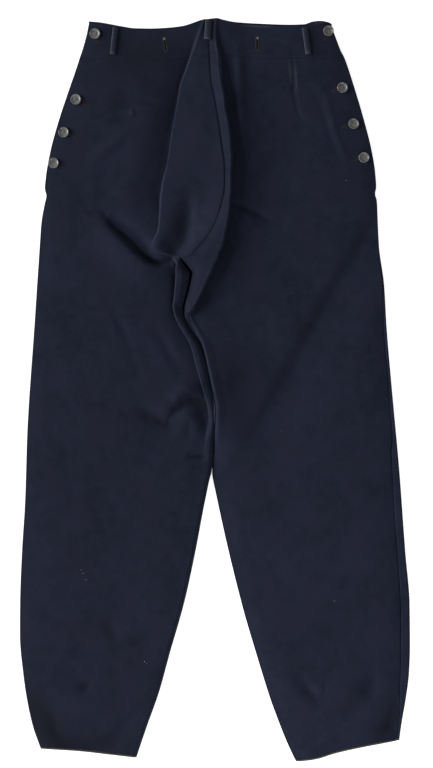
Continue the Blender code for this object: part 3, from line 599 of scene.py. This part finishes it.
def woolTwill():
    paint = Paint("navy_wool_twill")
    where = paint.add("TexCoord", output="Object")
    uv = paint.add("UVMap", output="UV", uv_map="cloth")
    alongRow = paint.add("SeparateXYZ", {"Vector": uv})
    downLeg = Signal(paint, alongRow.socket.node.outputs["Y"])
    turns = 2 * math.pi / (wool["twillPitch"] * mm)
    acrossWay, downWay = wool["twillWay"]
    twill = (alongRow * (acrossWay * turns) + downLeg * (downWay * turns)).wave()
    patches = paint.grain(where, wool["patches"], 3)
    mottle = paint.grain(where, wool["mottle"], 4)
    fuzz = paint.grain(where, wool["fuzz"], 3)
    fibres = paint.grain(uv, wool["fibres"], 2, stretch=(1, 0.35, 1))
    wear = paint.add("Attribute", output="Fac", attribute_name="wear")
    tone = (patches - 0.5) * 0.9 + (mottle - 0.5) * 0.9 + (fuzz - 0.5) * 0.9 + twill * 0.1 + 0.45
    colour = paint.blend(tone.span(0.0, 1.0), wool["deep"], wool["lit"])
    warm = paint.grain(where, wool["warmth"], 3, stretch=(1, 0.7, 1))
    colour = paint.blend(warm.span(0.44, 0.66, 0.0, 0.75), colour, wool["violet"])
    # Painted shade: where the painted shade attribute is set, the wool darkens towards a near-black
    # navy
    stain = paint.add("Attribute", output="Fac", attribute_name="stain")
    stained = (stain + (mottle - 0.5) * stain).span(0.0, 1.0, 0.0, 0.8)
    colour = paint.blend(stained, colour, wool["stained"])
    scuffed = (wear * 1.3 + (fuzz - 0.5) * wear * 1.6).span(0.05, 1.2)
    colour = paint.blend(scuffed, colour, wool["worn"])
    height = twill * 0.35 + fibres * 0.5 + fuzz * 0.6
    bump = paint.add("Bump", {"Strength": 0.55, "Distance": wool["bump"], "Height": height})
    return paint.finish(Base_Color=colour, Roughness=(fuzz - 0.5) * 0.12 + 0.84,
                        Normal=bump, Specular_IOR_Level=0.14, Sheen_Weight=0.09,
                        Sheen_Roughness=0.45, Sheen_Tint=(0.62, 0.68, 0.85, 1))


def plainFinish(name, deep, lit, size, roughness, specular=0.3, bump=0.0002):
    paint = Paint(name)
    where = paint.add("TexCoord", output="Object")
    grain = paint.grain(where, size, 3)
    fine = paint.grain(where, size / 6, 2)
    colour = paint.blend((grain * 0.7 + fine * 0.3).span(0.3, 0.7), deep, lit)
    height = grain * 0.5 + fine * 0.5
    normal = paint.add("Bump", {"Strength": 0.4, "Distance": bump, "Height": height})
    return paint.finish(Base_Color=colour, Roughness=(fine - 0.5) * 0.1 + roughness,
                        Normal=normal, Specular_IOR_Level=specular)


clothFinish = woolTwill()
hornFinish = plainFinish("dark_horn", (0.065, 0.066, 0.067, 1), (0.19, 0.19, 0.185, 1), 4, 0.26,
                         0.6, 0.00005)
tapeFinish = plainFinish("hem_tape", (0.036, 0.034, 0.029, 1), (0.085, 0.080, 0.066, 1), 3, 0.8)
threadFinish = plainFinish("button_thread", (0.16, 0.16, 0.16, 1), (0.34, 0.33, 0.32, 1), 1.5, 0.7)
laceFinish = plainFinish("buttonhole_thread", (0.020, 0.020, 0.020, 1), (0.048, 0.045, 0.038, 1), 2,
                         0.7, 0.2)
navyThread = plainFinish("navy_thread", (0.008, 0.010, 0.020, 1), (0.020, 0.024, 0.042, 1), 2, 0.6,
                         0.25)
shadeFinish = plainFinish("slit_shade", (0.003, 0.003, 0.004, 1), (0.006, 0.005, 0.005, 1), 2, 0.9,
                          0.05)
eyeFinish = plainFinish("eyelet_light", (0.09, 0.09, 0.10, 1), (0.17, 0.17, 0.18, 1), 2, 0.7)
lintFinish = plainFinish("lint", (0.30, 0.30, 0.31, 1), (0.55, 0.55, 0.55, 1), 1, 0.9, 0.1)
print("materials made")

# Cloth pieces: "rolls" is how far each edge turns down, in mm; "worn" and "rimShade" are how
# much and how far in from each edge, in mm. "worn" is paler wear; the other is painted shade, a
# darker line along the edges
legCloth = {"rowStep": 2.5, "lowRowStep": 5.0, "fineTo": 500.0, "tapeDepth": 2.2,
            "rolls": {"inner": 0.55, "outer": 0.12, "upper": 0.5, "lower": 0.2},
            "worn": {"inner": (0.10, 1.5)},
            # Painted shade: a darker line along the edges given below
            "rimShade": {-1: {"outer": (2.4, 1.2), "lower": (1.2, 1.0)},
                       1: {"inner": (2, 1.2), "lower": (1.2, 1.0)}}}
bandCloth = {"rowStep": 1.9, "rolls": {"inner": 0.55, "outer": 0.3, "upper": 0.35, "lower": 0.5},
             "worn": {"outer": (0.2, 2.0), "lower": (0.10, 1.5)},
             "rimShade": dict.fromkeys((-1, 1), {"upper": (2.2, 1.6)})}
raisedWear = {"share": 0.05, "reach": 3.0, "around": 4}    # "around" counts rows and columns
rimMarks, rimEnd = np.array([0, 0.4, 0.9, 1.6, 2.6]), 4
sides = ((-1, "left"), (1, "right"))


# Rows that come closer together at both ends
def clustered(start, end, step):
    inside = np.arange(start + rimEnd, end - rimEnd, step)
    return np.concatenate([start + rimMarks, inside, end - rimMarks[::-1]])


def edgeMarks(grid, edges):
    near = edgeDistance(grid)
    marks = np.zeros(grid.shape[:2])
    for edge, (amount, width) in edges.items():
        marks = np.maximum(marks, amount * np.exp(-near[edge] / width))
    return marks


# How far each place stands out from its surroundings, 0 to 1
def raised(grid):
    height, away = grid[..., 2], raisedWear["around"]
    padded = np.pad(height, away, mode="edge")
    rows, columns = height.shape
    shifts = (0, away, 2 * away)
    around = sum(padded[r:r + rows, c:c + columns] for r in shifts for c in shifts) / 9
    return np.clip((height - around) / raisedWear["reach"], 0, 1)


def legEnd(side):
    return hemLevel(side) - legCloth["tapeDepth"] - garment["clear"]


def makeFronts():
    made = {}
    for side, name in sides:
        start = garment["bandSeam"] - garment["seamLap"]
        upper = clustered(start, legCloth["fineTo"], legCloth["rowStep"])[:-len(rimMarks)]
        lower = clustered(legCloth["fineTo"], legEnd(side), legCloth["lowRowStep"])
        legDowns = np.concatenate([upper, lower[len(rimMarks):]])
        bandDowns = clustered(0, garment["bandSeam"], bandCloth["rowStep"])
        for part, downs, bendRows, cloth in (("leg", legDowns, legRows(side), legCloth),
                                             ("waistband", bandDowns, bandRows, bandCloth)):
            grid = frontGrid(side, downs, bendRows, cloth["rolls"])
            wear = [edgeMarks(grid, cloth["worn"]), raisedWear["share"] * raised(grid),
                    *strokeHeights(scuffs, grid)]
            # Painted shade: the shade strokes together with the darker line along the edges, kept on
            # each point for the wool shader
            stain = np.maximum(sum(strokeHeights(stains, grid)),
                               edgeMarks(grid, cloth["rimShade"][side]))
            piece = shell(f"{part}_front_{name}_cloth", *wallSides(grid), clothFinish,
                          wear=np.maximum.reduce(wear), stain=stain)
            made[f"{part}_front_{name}"] = (piece, grid)
    return made


# Backs, in mm, with the strip along each outer edge that turns over on the right
backCloth = {"inset": 1.2, "drop": 1.5, "strip": 1.2, "stripGap": 0.5, "stripMarks": 11,
             "flatCount": 40, "flatEase": 1.4, "seamSink": 0.25, "seamWidth": 0.8,
             "seamPower": 1.5, "roundShare": 0.9, "leastShare": 0.55, "rowStep": 7.5,
             "bandColumns": 120, "bandRun": 50.0, "bandStep": 3.0,
             "worn": {"outer": (0.12, 2.0)}, "bandWorn": {"upper": (0.3, 1.6)}}


def backCentre(side, down):
    if down < backSeam["down"][-1]:
        return read(backSeam, "across", down) - side * garment["seamLap"]
    gap = read(centre, "gap", down) * between(down, *garment["legParting"])
    return read(centre, "line", down) + side * (gap - garment["seamLap"]) / 2


# One row of a back's upper and lower face. The outer strip is the cloth that turns over.
def backRowPoints(side, down, bend):
    outline = rightSide if side > 0 else leftSide
    inset = backCloth["inset"] * (1 - between(down, *garment["placketEnd"]))
    outer = read(outline, "across", down) - side * inset
    inner = backCentre(side, down)
    strip, rim = backCloth["strip"], garment["wall"]
    if side > 0:
        strip = max(strip, read(rightTurnover, "width", down))
        rim = read(rightTurnover, "height", down)
    seam = outer - side * strip
    eased = 1 - easedIn(backCloth["flatCount"], backCloth["flatEase"])[::-1]
    flat = inner + (seam - side * backCloth["stripGap"] - inner) * eased
    t = np.linspace(0, 1, backCloth["stripMarks"])
    across = np.concatenate([flat, seam + (outer - seam) * t])
    fromSeam = (strip * t / backCloth["seamWidth"]) ** backCloth["seamPower"]
    rise = rim - backCloth["seamSink"] * (rim - garment["wall"]) * np.exp(-fromSeam)
    radius = rim / 2
    edge = np.clip(1 - strip * (1 - t) / radius, 0, 1)
    rise = rise - radius * (1 - np.sqrt(1 - edge**2)) * backCloth["roundShare"]
    height = np.concatenate([np.full(len(flat), garment["wall"]),
                             np.maximum(rise, backCloth["leastShare"] * rim)])
    top = np.stack([across, down + bend(across, down), height], axis=1)
    return top, top * (1, 1, 0)


def makeBacks():
    made = {}
    for side, name in sides:
        start = garment["backBandSeam"] - garment["seamLap"]
        downs = clustered(start, legEnd(side), backCloth["rowStep"])
        rows = np.array([backRowPoints(side, down, legRows(side, 0)) for down in downs])
        top, bottom = rows[:, 0], rows[:, 1]
        back = shell(f"leg_back_{name}_cloth", top, bottom, clothFinish,
                     wear=edgeMarks(top, backCloth["worn"]))
        made[f"leg_back_{name}"] = (back, bottom + (0, 0, garment["wall"] / 2))
    footDown, columns, run = garment["backBandSeam"], backCloth["bandColumns"], backCloth["bandRun"]
    edge, foot = [np.linspace(read(leftSide, "across", down) + backCloth["inset"],
                              read(rightSide, "across", down) - backCloth["inset"], columns)
                  for down in (0, footDown)]
    edgeDown = read(waistEdge, "down", edge) + backCloth["drop"]
    t = clustered(0, run, backCloth["bandStep"])[:, None] / run
    bottom = np.stack([edge + (foot - edge) * t, edgeDown + (footDown - edgeDown) * t,
                       np.zeros((len(t), columns))], axis=-1)
    top = bottom + (0, 0, garment["wall"])
    band = shell("waistband_back_cloth", top, bottom, clothFinish,
                 wear=edgeMarks(top, backCloth["bandWorn"]))
    made["waistband_back"] = (band, bottom + (0, 0, garment["wall"] / 2))
    return made


pieces = makeFronts()
print("fronts made")
pieces.update(makeBacks())
print("backs made")

# Places on the made cloth, looked for from a height in mm over all of it
lookFrom = 60.0
bpy.context.view_layer.update()
frontPieces = [pieces[f"{part}_front_{name}"][0] for part in ("leg", "waistband")
               for _, name in sides]


# Height in mm of the front's upper face
def clothTop(across, down):
    start = Vector(toMetres((across, down, lookFrom)))
    hits = [piece.ray_cast(start, (0, 0, -1)) for piece in frontPieces]
    return max([place.z / mm for struck, place, _, _ in hits if struck], default=lowest)


# Unit normal of the front round a place, in the frame's axes
def lean(across, down, span):
    slopeX = clothTop(across + span, down) - clothTop(across - span, down)
    slopeY = clothTop(across, down - span) - clothTop(across, down + span)
    return Vector((-slopeX, -slopeY, 2 * span)).normalized()


# Names the object that bpy.ops has just made and moves its place into its mesh
def fromOps(name, finish):
    piece = bpy.context.object
    bpy.ops.object.transform_apply(location=True, rotation=True, scale=True)
    piece.name = piece.data.name = name
    piece.data.materials.append(finish)
    return piece


def pointsOf(piece):
    flat = np.empty(len(piece.data.vertices) * 3)
    piece.data.vertices.foreach_get("co", flat)
    return flat.reshape(-1, 3)


def drop(*models):
    for model in models:
        bpy.data.objects.remove(model, do_unlink=True)


# Points turned about Z and moved, all in metres
def turned(base, angle, x=0.0, y=0.0, z=0.0):
    c, s = math.cos(angle), math.sin(angle)
    return np.stack([base[:, 0] * c - base[:, 1] * s + x, base[:, 0] * s + base[:, 1] * c + y,
                     base[:, 2] + z], axis=1)


# One mesh of many copies of a model, each placed by its own values
def copies(name, model, places, placed=turned):
    base = pointsOf(model)
    verts = [placed(base, *place) for place in places]
    faces = [[start + index for index in face.vertices]
             for start in range(0, len(verts) * len(base), len(base))
             for face in model.data.polygons]
    mesh = bpy.data.meshes.new(name)
    mesh.from_pydata(np.concatenate(verts).tolist(), [], faces)
    mesh.materials.append(model.data.materials[0])
    mesh.shade_smooth()
    return linked(name, mesh)


# Points modelled on a flat table, laid on the front at a place
def laidOnCloth(base, across, down, angle, lift=0.0, size=1.0):
    spread = turned(base * size, angle, *toMetres((across, down, 0.0))[:2])
    tops = [clothTop(x / mm, garment["length"] / 2 - y / mm) for x, y in spread[:, :2]]
    spread[:, 2] += (np.array(tops) + lift) * mm
    return spread


# Evenly spaced places on a line, with its direction there, in the frame's axes
def alongLine(line, pitch):
    line, _, start = measured(line)
    marks = np.linspace(0, start[-1], max(2, round(start[-1] / pitch) + 1))
    spots = np.stack([np.interp(marks, start, line[:, k]) for k in (0, 1)], axis=1)
    ways = np.gradient(spots, axis=0)
    return [(x, y, math.atan2(-dy, dx)) for (x, y), (dx, dy) in zip(spots, ways)]


# Buttons
button = {"radius": 7.7, "thick": 2.5, "rim": 1.25, "slope": 0.75, "dish": 0.75, "dip": 0.35,
          "floor": 1.9, "middle": 1.6, "middleDip": 0.1, "bevel": 0.32, "bevelFrom": 24,
          "sharpFrom": 50, "holeRadius": 0.72, "holeSpread": 1.45, "drill": 8, "drillSides": 16,
          "sides": 64, "seat": 0.2, "seatPlaces": 16, "thread": (4.3, 0.55, 0.9),
          "threadRise": 0.05, "leanSpan": 5.0, "spin": 0.35, "spinChange": 3.1,
          "places": [("left_1", -176.1, 23.2), ("left_2", -204.2, 119.5), ("left_3", -222.1, 167.9),
                     ("left_4", -236.7, 212.9), ("right_1", 166.4, 18.8),
                     ("right_2", 186.8, 102.3), ("right_3", 203.3, 155.2),
                     ("right_4", 218.4, 204.8)]}


# A turned button, its underside on the table, with four drilled holes
def makeButton():
    bpy.ops.object.select_all(action="DESELECT")
    bpy.ops.mesh.primitive_cylinder_add(
        vertices=button["sides"], radius=button["radius"] * mm, depth=button["thick"] * mm,
        location=(0, 0, button["thick"] / 2 * mm))
    body = fromOps("button", hornFinish)
    bpy.ops.object.mode_set(mode="EDIT")
    bpy.ops.mesh.select_mode(type="FACE")
    mesh = bmesh.from_edit_mesh(body.data)
    for face in mesh.faces:
        face.select_set(face.normal.z > 0.9)
    bmesh.update_edit_mesh(body.data)
    for wide, deep in ((button["rim"], 0.0), (button["slope"], -button["dish"]),
                       (button["floor"], -button["dip"]),
                       (button["middle"], -button["middleDip"])):
        bpy.ops.mesh.inset(thickness=wide * mm, depth=deep * mm)
    bpy.ops.mesh.select_mode(type="EDGE")
    mesh = bmesh.from_edit_mesh(body.data)
    for edge in mesh.edges:
        edge.select_set(edge.calc_face_angle(0) > math.radians(button["bevelFrom"]) and not any(
            abs(vert.normal.z) < 0.1 and vert.co.z < 0.1 * mm for vert in edge.verts))
    bmesh.update_edit_mesh(body.data)
    bpy.ops.mesh.bevel(offset=button["bevel"] * mm, segments=3, affect="EDGES")
    bpy.ops.object.mode_set(mode="OBJECT")
    bpy.ops.object.select_all(action="DESELECT")
    bpy.ops.mesh.primitive_cylinder_add(
        vertices=button["drillSides"], radius=button["holeRadius"] * mm,
        depth=button["drill"] * mm, location=(0, 0, 0))
    drill = fromOps("drill", hornFinish)
    corners = [(0, x * button["holeSpread"] * mm, y * button["holeSpread"] * mm)
               for x in (-1, 1) for y in (-1, 1)]
    drills = copies("drills", drill, corners)
    cut = body.modifiers.new("holes", "BOOLEAN")
    cut.object, cut.operation, cut.solver = drills, "DIFFERENCE", "EXACT"
    bpy.ops.object.select_all(action="DESELECT")
    body.select_set(True)
    bpy.context.view_layer.objects.active = body
    bpy.ops.object.modifier_apply(modifier="holes")
    drop(drill, drills)
    body.data.set_sharp_from_angle(angle=math.radians(button["sharpFrom"]))
    return body


# A flattened bead, for threads, stitches, slits, eyelets and lint
def makeStrand(name, long, thick, high, finish, segments=8, rings=6):
    bpy.ops.object.select_all(action="DESELECT")
    bpy.ops.mesh.primitive_uv_sphere_add(segments=segments, ring_count=rings, radius=1)
    bpy.ops.transform.resize(value=(long / 2 * mm, thick / 2 * mm, high / 2 * mm))
    return fromOps(name, finish)


def makeButtons():
    body = makeButton()
    strand = makeStrand("thread", *button["thread"], threadFinish, 10, 8)
    seated = button["thick"] - button["dish"] - button["dip"] + button["threadRise"]
    made = []
    for name, across, down in button["places"]:
        up = lean(across, down, button["leanSpan"])
        turn = Vector((0, 0, 1)).rotation_difference(up).to_matrix()
        rim = [(button["radius"] * math.cos(a), button["radius"] * math.sin(a))
               for a in np.linspace(0, 2 * math.pi, button["seatPlaces"])]
        level = max(clothTop(across + x, down - y) + (up.x * x + up.y * y) / up.z for x, y in rim)
        level = max(level, clothTop(across, down))
        seat = Vector(toMetres((across, down, level + button["seat"])))
        spin = button["spin"] * math.sin(across * button["spinChange"] + down)
        place = Matrix.Translation(seat) @ turn.to_4x4() @ Matrix.Rotation(spin, 4, "Z")
        whole = linked(f"button_{name}_turned", body.data.copy())
        whole.data.transform(place)
        threads = copies(f"button_{name}_thread", strand, [
            (0, 0, y * button["holeSpread"] * mm, seated * mm) for y in (-1, 1)])
        threads.data.transform(place)
        whole.data.name = whole.name
        made.append((f"button_{name}", whole, threads))
    drop(body, strand)
    return made


# Buttonholes: (inner end, outer end) in photo pixels, and the two keyholes for braces. "lifts"
# are the heights of the slit, the lips and the eye over the cloth.
holes = {"length": 17.0, "pitch": 0.62, "eye": 1.9, "lip": {"plain": 1.8, "keys": 2.4},
         "out": {"plain": 1.15, "keys": 1.9}, "slit": {"plain": 1.1, "keys": 1.9},
         "thread": (0.54, 0.46), "slitEnd": 0.4, "slitHigh": 0.2, "eyeHigh": 0.3,
         "eyeRing": 0.5, "halfTurn": 1.2, "eyeTurn": 2.6, "lifts": (0.05, 0.1, 0.12),
         "plain": [((89.4, 105.8), (76.2, 99.9)), ((79.2, 137.0), (64.0, 132.8)),
                   ((67.2, 167.8), (54.1, 163.4)), ((98.0, 43.0), (95.3, 33.0)),
                   ((332.8, 91.8), (342.2, 88.2)), ((342.4, 127.6), (353.4, 123.5)),
                   ((352.0, 161.0), (363.7, 157.2)), ((325.2, 40.2), (327.8, 30.2))],
         "keys": [((166.5, 51.0), (163.9, 36.5)), ((257.3, 50.4), (257.5, 37.0))]}


# A worked buttonhole on the table: its inner end at the origin, running along +X
def makeHole(kind):
    eye = holes["eye"] if kind == "keys" else 0
    side = holes["out"][kind]
    strand = makeStrand("strand", holes["lip"][kind], *holes["thread"], laceFinish, 6, 4)
    # The slit is a near-black bead of painted shade, standing for the dark inside the cut
    slit = makeStrand("slit", holes["length"] + holes["slitEnd"], holes["slit"][kind],
                      holes["slitHigh"], shadeFinish, 16, 6)
    long, out = holes["length"] * mm, side * mm
    slitLift, lipLift, eyeLift = [lift * mm for lift in holes["lifts"]]
    places = []
    for x in np.arange(0, long - eye * mm, holes["pitch"] * mm):
        places += [(math.pi / 2, x, out, lipLift), (math.pi / 2, x, -out, lipLift)]
    ends = [(0.0, side, math.pi, holes["halfTurn"])]
    ends.append((long, eye + holes["eyeRing"], 0.0, holes["eyeTurn"]) if eye
                else (long, side, 0.0, holes["halfTurn"]))
    for x, radius, facing, reach in ends:
        for step in np.arange(-reach, reach + 0.01, holes["pitch"] / radius):
            angle = facing + step
            places.append((angle, x + radius * mm * math.cos(angle), radius * mm * math.sin(angle),
                           lipLift))
    made = [copies("hole_lips", strand, places),
            copies("hole_gap", slit, [(0, long / 2, 0, slitLift)])]
    if eye:
        disc = makeStrand("disc", 2 * eye, 2 * eye, holes["eyeHigh"], eyeFinish, 20, 6)
        made.append(copies("hole_eye", disc, [(0, long, 0, eyeLift)]))
        drop(disc)
    drop(strand, slit)
    return made


def layModel(name, parts, inner, outer):
    (ax, ay), (bx, by) = atPixel(inner, outer)
    angle = math.atan2(-(by - ay), bx - ax)
    panel = "waistband_front" if by < garment["bandSeam"] else "leg_front"
    node = f"{panel}_{'left' if ax < 0 else 'right'}"
    return [(node, copies(f"{name}_{part.name.split('_')[-1]}", part, [(ax, ay, angle)],
                          laidOnCloth)) for part in parts]


def makeHoles():
    made = []
    for kind in ("plain", "keys"):
        model = makeHole(kind)
        for number, (inner, outer) in enumerate(holes[kind], 1):
            made += layModel(f"{kind}_hole_{number}", model, inner, outer)
        drop(*model)
    return made


# Belt loops, with each strap's width and both ends
loops = {"thick": 1.04, "arch": 1.1, "archPower": 0.7, "round": 1.1, "roundPower": 2.4,
         "under": 0.35, "fold": 0.55, "foldFromEnd": 1.6, "foldWidth": 1.8, "seat": 0.15,
         "smoothing": 3, "columns": 15, "rowStep": 1.0, "pull": 0.2, "plainWear": 0.30,
         "worn": {"inner": (0.45, 0.9), "outer": (0.45, 0.9), "lower": (0.8, 2.2)}, "straps": [
    dict(node="belt_loop_left", width=7.5, top=(-146.1, 13.6), foot=(-150.5, 53.6)),
    dict(node="belt_loop_centre", width=9.0, top=(-9.6, 2.6), foot=(-11.4, 32.0)),
    dict(node="belt_loop_right", width=7.5, top=(131.0, 14.6), foot=(136.6, 53.6))]}


def makeLoops():
    made = []
    for strap in loops["straps"]:
        (ax, ay), (bx, by) = strap["top"], strap["foot"]
        long = math.hypot(bx - ax, by - ay)
        aside = np.array([by - ay, ax - bx]) / long
        marks = clustered(0, long, loops["rowStep"]) / long
        acrossMarks = np.linspace(-1, 1, loops["columns"])
        rows = []
        for t in marks:
            middle = np.array([ax + (bx - ax) * t, ay + (by - ay) * t])
            places = [middle + aside * strap["width"] / 2 * share for share in acrossMarks]
            seat = max(clothTop(x, y) for x, y in places[::loops["columns"] // 2])
            rows.append([(x, y, seat) for x, y in places])
        grid = np.array(rows)
        seats = np.pad(grid[:, 0, 2], loops["smoothing"], mode="edge")
        window = 2 * loops["smoothing"] + 1
        seats = sum(seats[k:k + len(marks)] for k in range(window)) / window + loops["seat"]
        lift = loops["arch"] * np.sin(math.pi * marks) ** loops["archPower"]
        fromFold = (1 - marks) * long - loops["foldFromEnd"]
        lift += loops["fold"] * np.exp(-(fromFold / loops["foldWidth"]) ** 2)
        grid[..., 2] = (np.maximum(seats, grid[:, 0, 2]) + garment["clear"] + lift)[:, None]
        crown = loops["round"] * (1 - np.abs(acrossMarks) ** loops["roundPower"])
        bottom, top = grid.copy(), grid.copy()
        bottom[..., 2] += loops["under"] * crown
        top[..., 2] += loops["thick"] + crown
        piece = shell(f"{strap['node']}_strap", top, bottom, clothFinish, pull=loops["pull"],
                      wear=edgeMarks(top, loops["worn"]) + loops["plainWear"])
        made.append((strap["node"], piece))
    return made


# Hem tapes, with half their thickness
tape = {"rows": 6, "half": 0.55}


def makeTapes():
    made = []
    for side, name in sides:
        level = hemLevel(side)
        downs = np.linspace(level - legCloth["tapeDepth"], level, tape["rows"])
        grid = frontGrid(side, downs, legRows(side), {})
        up = np.array([0, 0, tape["half"]])
        front = shell(f"hem_tape_front_{name}_woven", grid + up, grid - up, tapeFinish)
        bottom = np.array([backRowPoints(side, down, legRows(side, 0))[1] for down in downs])
        back = shell(f"hem_tape_back_{name}_woven", bottom + 2 * up, bottom, tapeFinish)
        made += [(f"hem_tape_front_{name}", front), (f"hem_tape_back_{name}", back)]
    return made


# Topstitching along the edges; flecks of lint: photo pixels and a size
stitch = {"size": (2.3, 0.42, 0.34), "pitch": 3.1, "inset": 5.5, "bandInset": 2.4, "lift": 0.02,
          "step": 6, "opening": (66, 256), "turnDown": 255, "fromEdge": 0.8, "bandLevel": 30,
          "bandEnd": 4, "fleck": (1.0, 0.8, 0.5), "fleckLift": 0.1}
lint = [(81.5, 569.5, 0.9), (83.4, 573, 1.1), (86, 579, 1.0), (144.7, 661, 1.3), (346, 181, 1.0),
        (334, 600, 0.9), (147, 663, 0.8), (292, 293, 0.7), (228.5, 339, 0.7), (270, 241, 0.6),
        (281, 431, 0.6)]


def stitchLines():
    lines = {}
    for side, name in sides:
        outline = leftSide if side < 0 else rightSide
        inset, turn, level = stitch["inset"], stitch["turnDown"], stitch["bandLevel"]
        outer = read(outline, "across", turn)
        lines[f"leg_front_{name}"] = [
            [(read(outline, "across", down) - side * inset, down)
             for down in np.arange(*stitch["opening"], stitch["step"])],
            [(outer - side * inset, turn), (outer - side * stitch["fromEdge"], turn)]]
        ends = sorted([read(centre, "line", level) + side * stitch["bandEnd"],
                       read(outline, "across", level) - side * stitch["bandEnd"]])
        lines[f"waistband_front_{name}"] = [
            [(across, read(edge, "down", across) + shift)
             for across in np.arange(*ends, stitch["step"])]
            for edge, shift in ((waistEdge, stitch["bandInset"]),
                                (bandEdge, -stitch["bandInset"]))]
    return lines


def makeSewing():
    single = makeStrand("stitch", *stitch["size"], navyThread, 6, 4)
    rows = []
    for node, lines in stitchLines().items():
        places = [(angle, *toMetres((x, y, clothTop(x, y) + stitch["lift"])))
                  for line in lines for x, y, angle in alongLine(line, stitch["pitch"])]
        rows.append((node, copies(f"topstitching_{node}", single, places)))
    drop(single)
    fleck = makeStrand("fleck", *stitch["fleck"], lintFinish, 7, 5)
    flecks = copies("lint", fleck, [(*atPixel((u, v))[0], u, stitch["fleckLift"], size)
                                    for u, v, size in lint], laidOnCloth)
    drop(fleck)
    return rows, flecks


loopPieces = makeLoops()
tapePieces = makeTapes()
buttonPieces = makeButtons()
holePieces = makeHoles()
stitchedRows, flecks = makeSewing()
sewn = holePieces + stitchedRows
print("loops, tapes, buttons and sewing made")

for node, piece in [(node, piece) for node, (piece, _) in pieces.items()] + loopPieces + tapePieces:
    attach(piece, "root")
    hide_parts(node)
    "hem_tape" if "tape" in node else "trouser_cloth"
for node, piece, threads in buttonPieces:
    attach(piece, "root")
    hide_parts(node)
    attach(threads, "root")
for piece in [piece for _, piece in sewn] + [flecks]:
    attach(piece, "root")

# What lies on what, and what is sewn to each sheet
carried = {node: [piece for owner, piece in sewn if owner == node] for node in pieces}
for node, piece in loopPieces + tapePieces:
    side = "right" if node.endswith("right") else "left"
    carried[f"leg_{node.split('_')[2]}_{side}" if "tape" in node
            else f"waistband_front_{side}"].append(piece)
for node, (piece, grid) in pieces.items():
    declareSheet(grid)

# Studio, in metres
studio = {"height": 3.0, "across": 0.0021, "up": 0.0084, "view": 1.129, "floor": 0.9,
          "floorSize": 8, "floorDrop": 0.0006, "glow": 0.72, "world": 0.19}
lamps = [{"name": "window", "kind": "SUN", "place": (-2.35, 0.25, 0.76), "energy": 5.0,
          "shape": {"angle": 0.62}},
         {"name": "hem_side", "kind": "AREA", "place": (0.75, -1.75, 1.3), "energy": 22.0,
          "shape": {"size": 1.0}}]


def makeStudio():
    bpy.ops.object.select_all(action="DESELECT")
    bpy.ops.mesh.primitive_plane_add(size=studio["floorSize"], location=(0, 0, 0))
    floor = bpy.context.object
    floor.name = "floor"
    floor.data.transform(Matrix.Translation((0, 0, -studio["floorDrop"])))
    paint = Paint("pale_floor")
    floor.data.materials.append(paint.finish(
        Base_Color=(studio["floor"],) * 3 + (1,), Roughness=0.9, Specular_IOR_Level=0.1,
        Emission_Color=(1, 1, 1, 1), Emission_Strength=studio["glow"]))
    view = linked("camera", bpy.data.cameras.new("camera"))
    view.location = (studio["across"], studio["up"], studio["height"])
    view.data.sensor_fit = "AUTO"
    view.data.lens = view.data.sensor_width * studio["height"] / studio["view"]
    view.data.clip_end = 50
    bpy.context.scene.camera = view
    for light in lamps:
        lamp = linked(light["name"], bpy.data.lights.new(light["name"], light["kind"]))
        lamp.data.energy = light["energy"]
        for key, value in light["shape"].items():
            setattr(lamp.data, key, value)
        lamp.location = light["place"]
        lamp.rotation_euler = (-Vector(light["place"])).to_track_quat("-Z", "Y").to_euler()
    world = bpy.data.worlds.new("studio")
    world.use_nodes = True
    sky = world.node_tree.nodes["Background"].inputs
    sky["Color"].default_value = (1, 1, 1, 1)
    sky["Strength"].default_value = studio["world"]
    bpy.context.scene.world = world
    bpy.context.scene.view_settings.view_transform = "Standard"


makeStudio()
print("studio made")
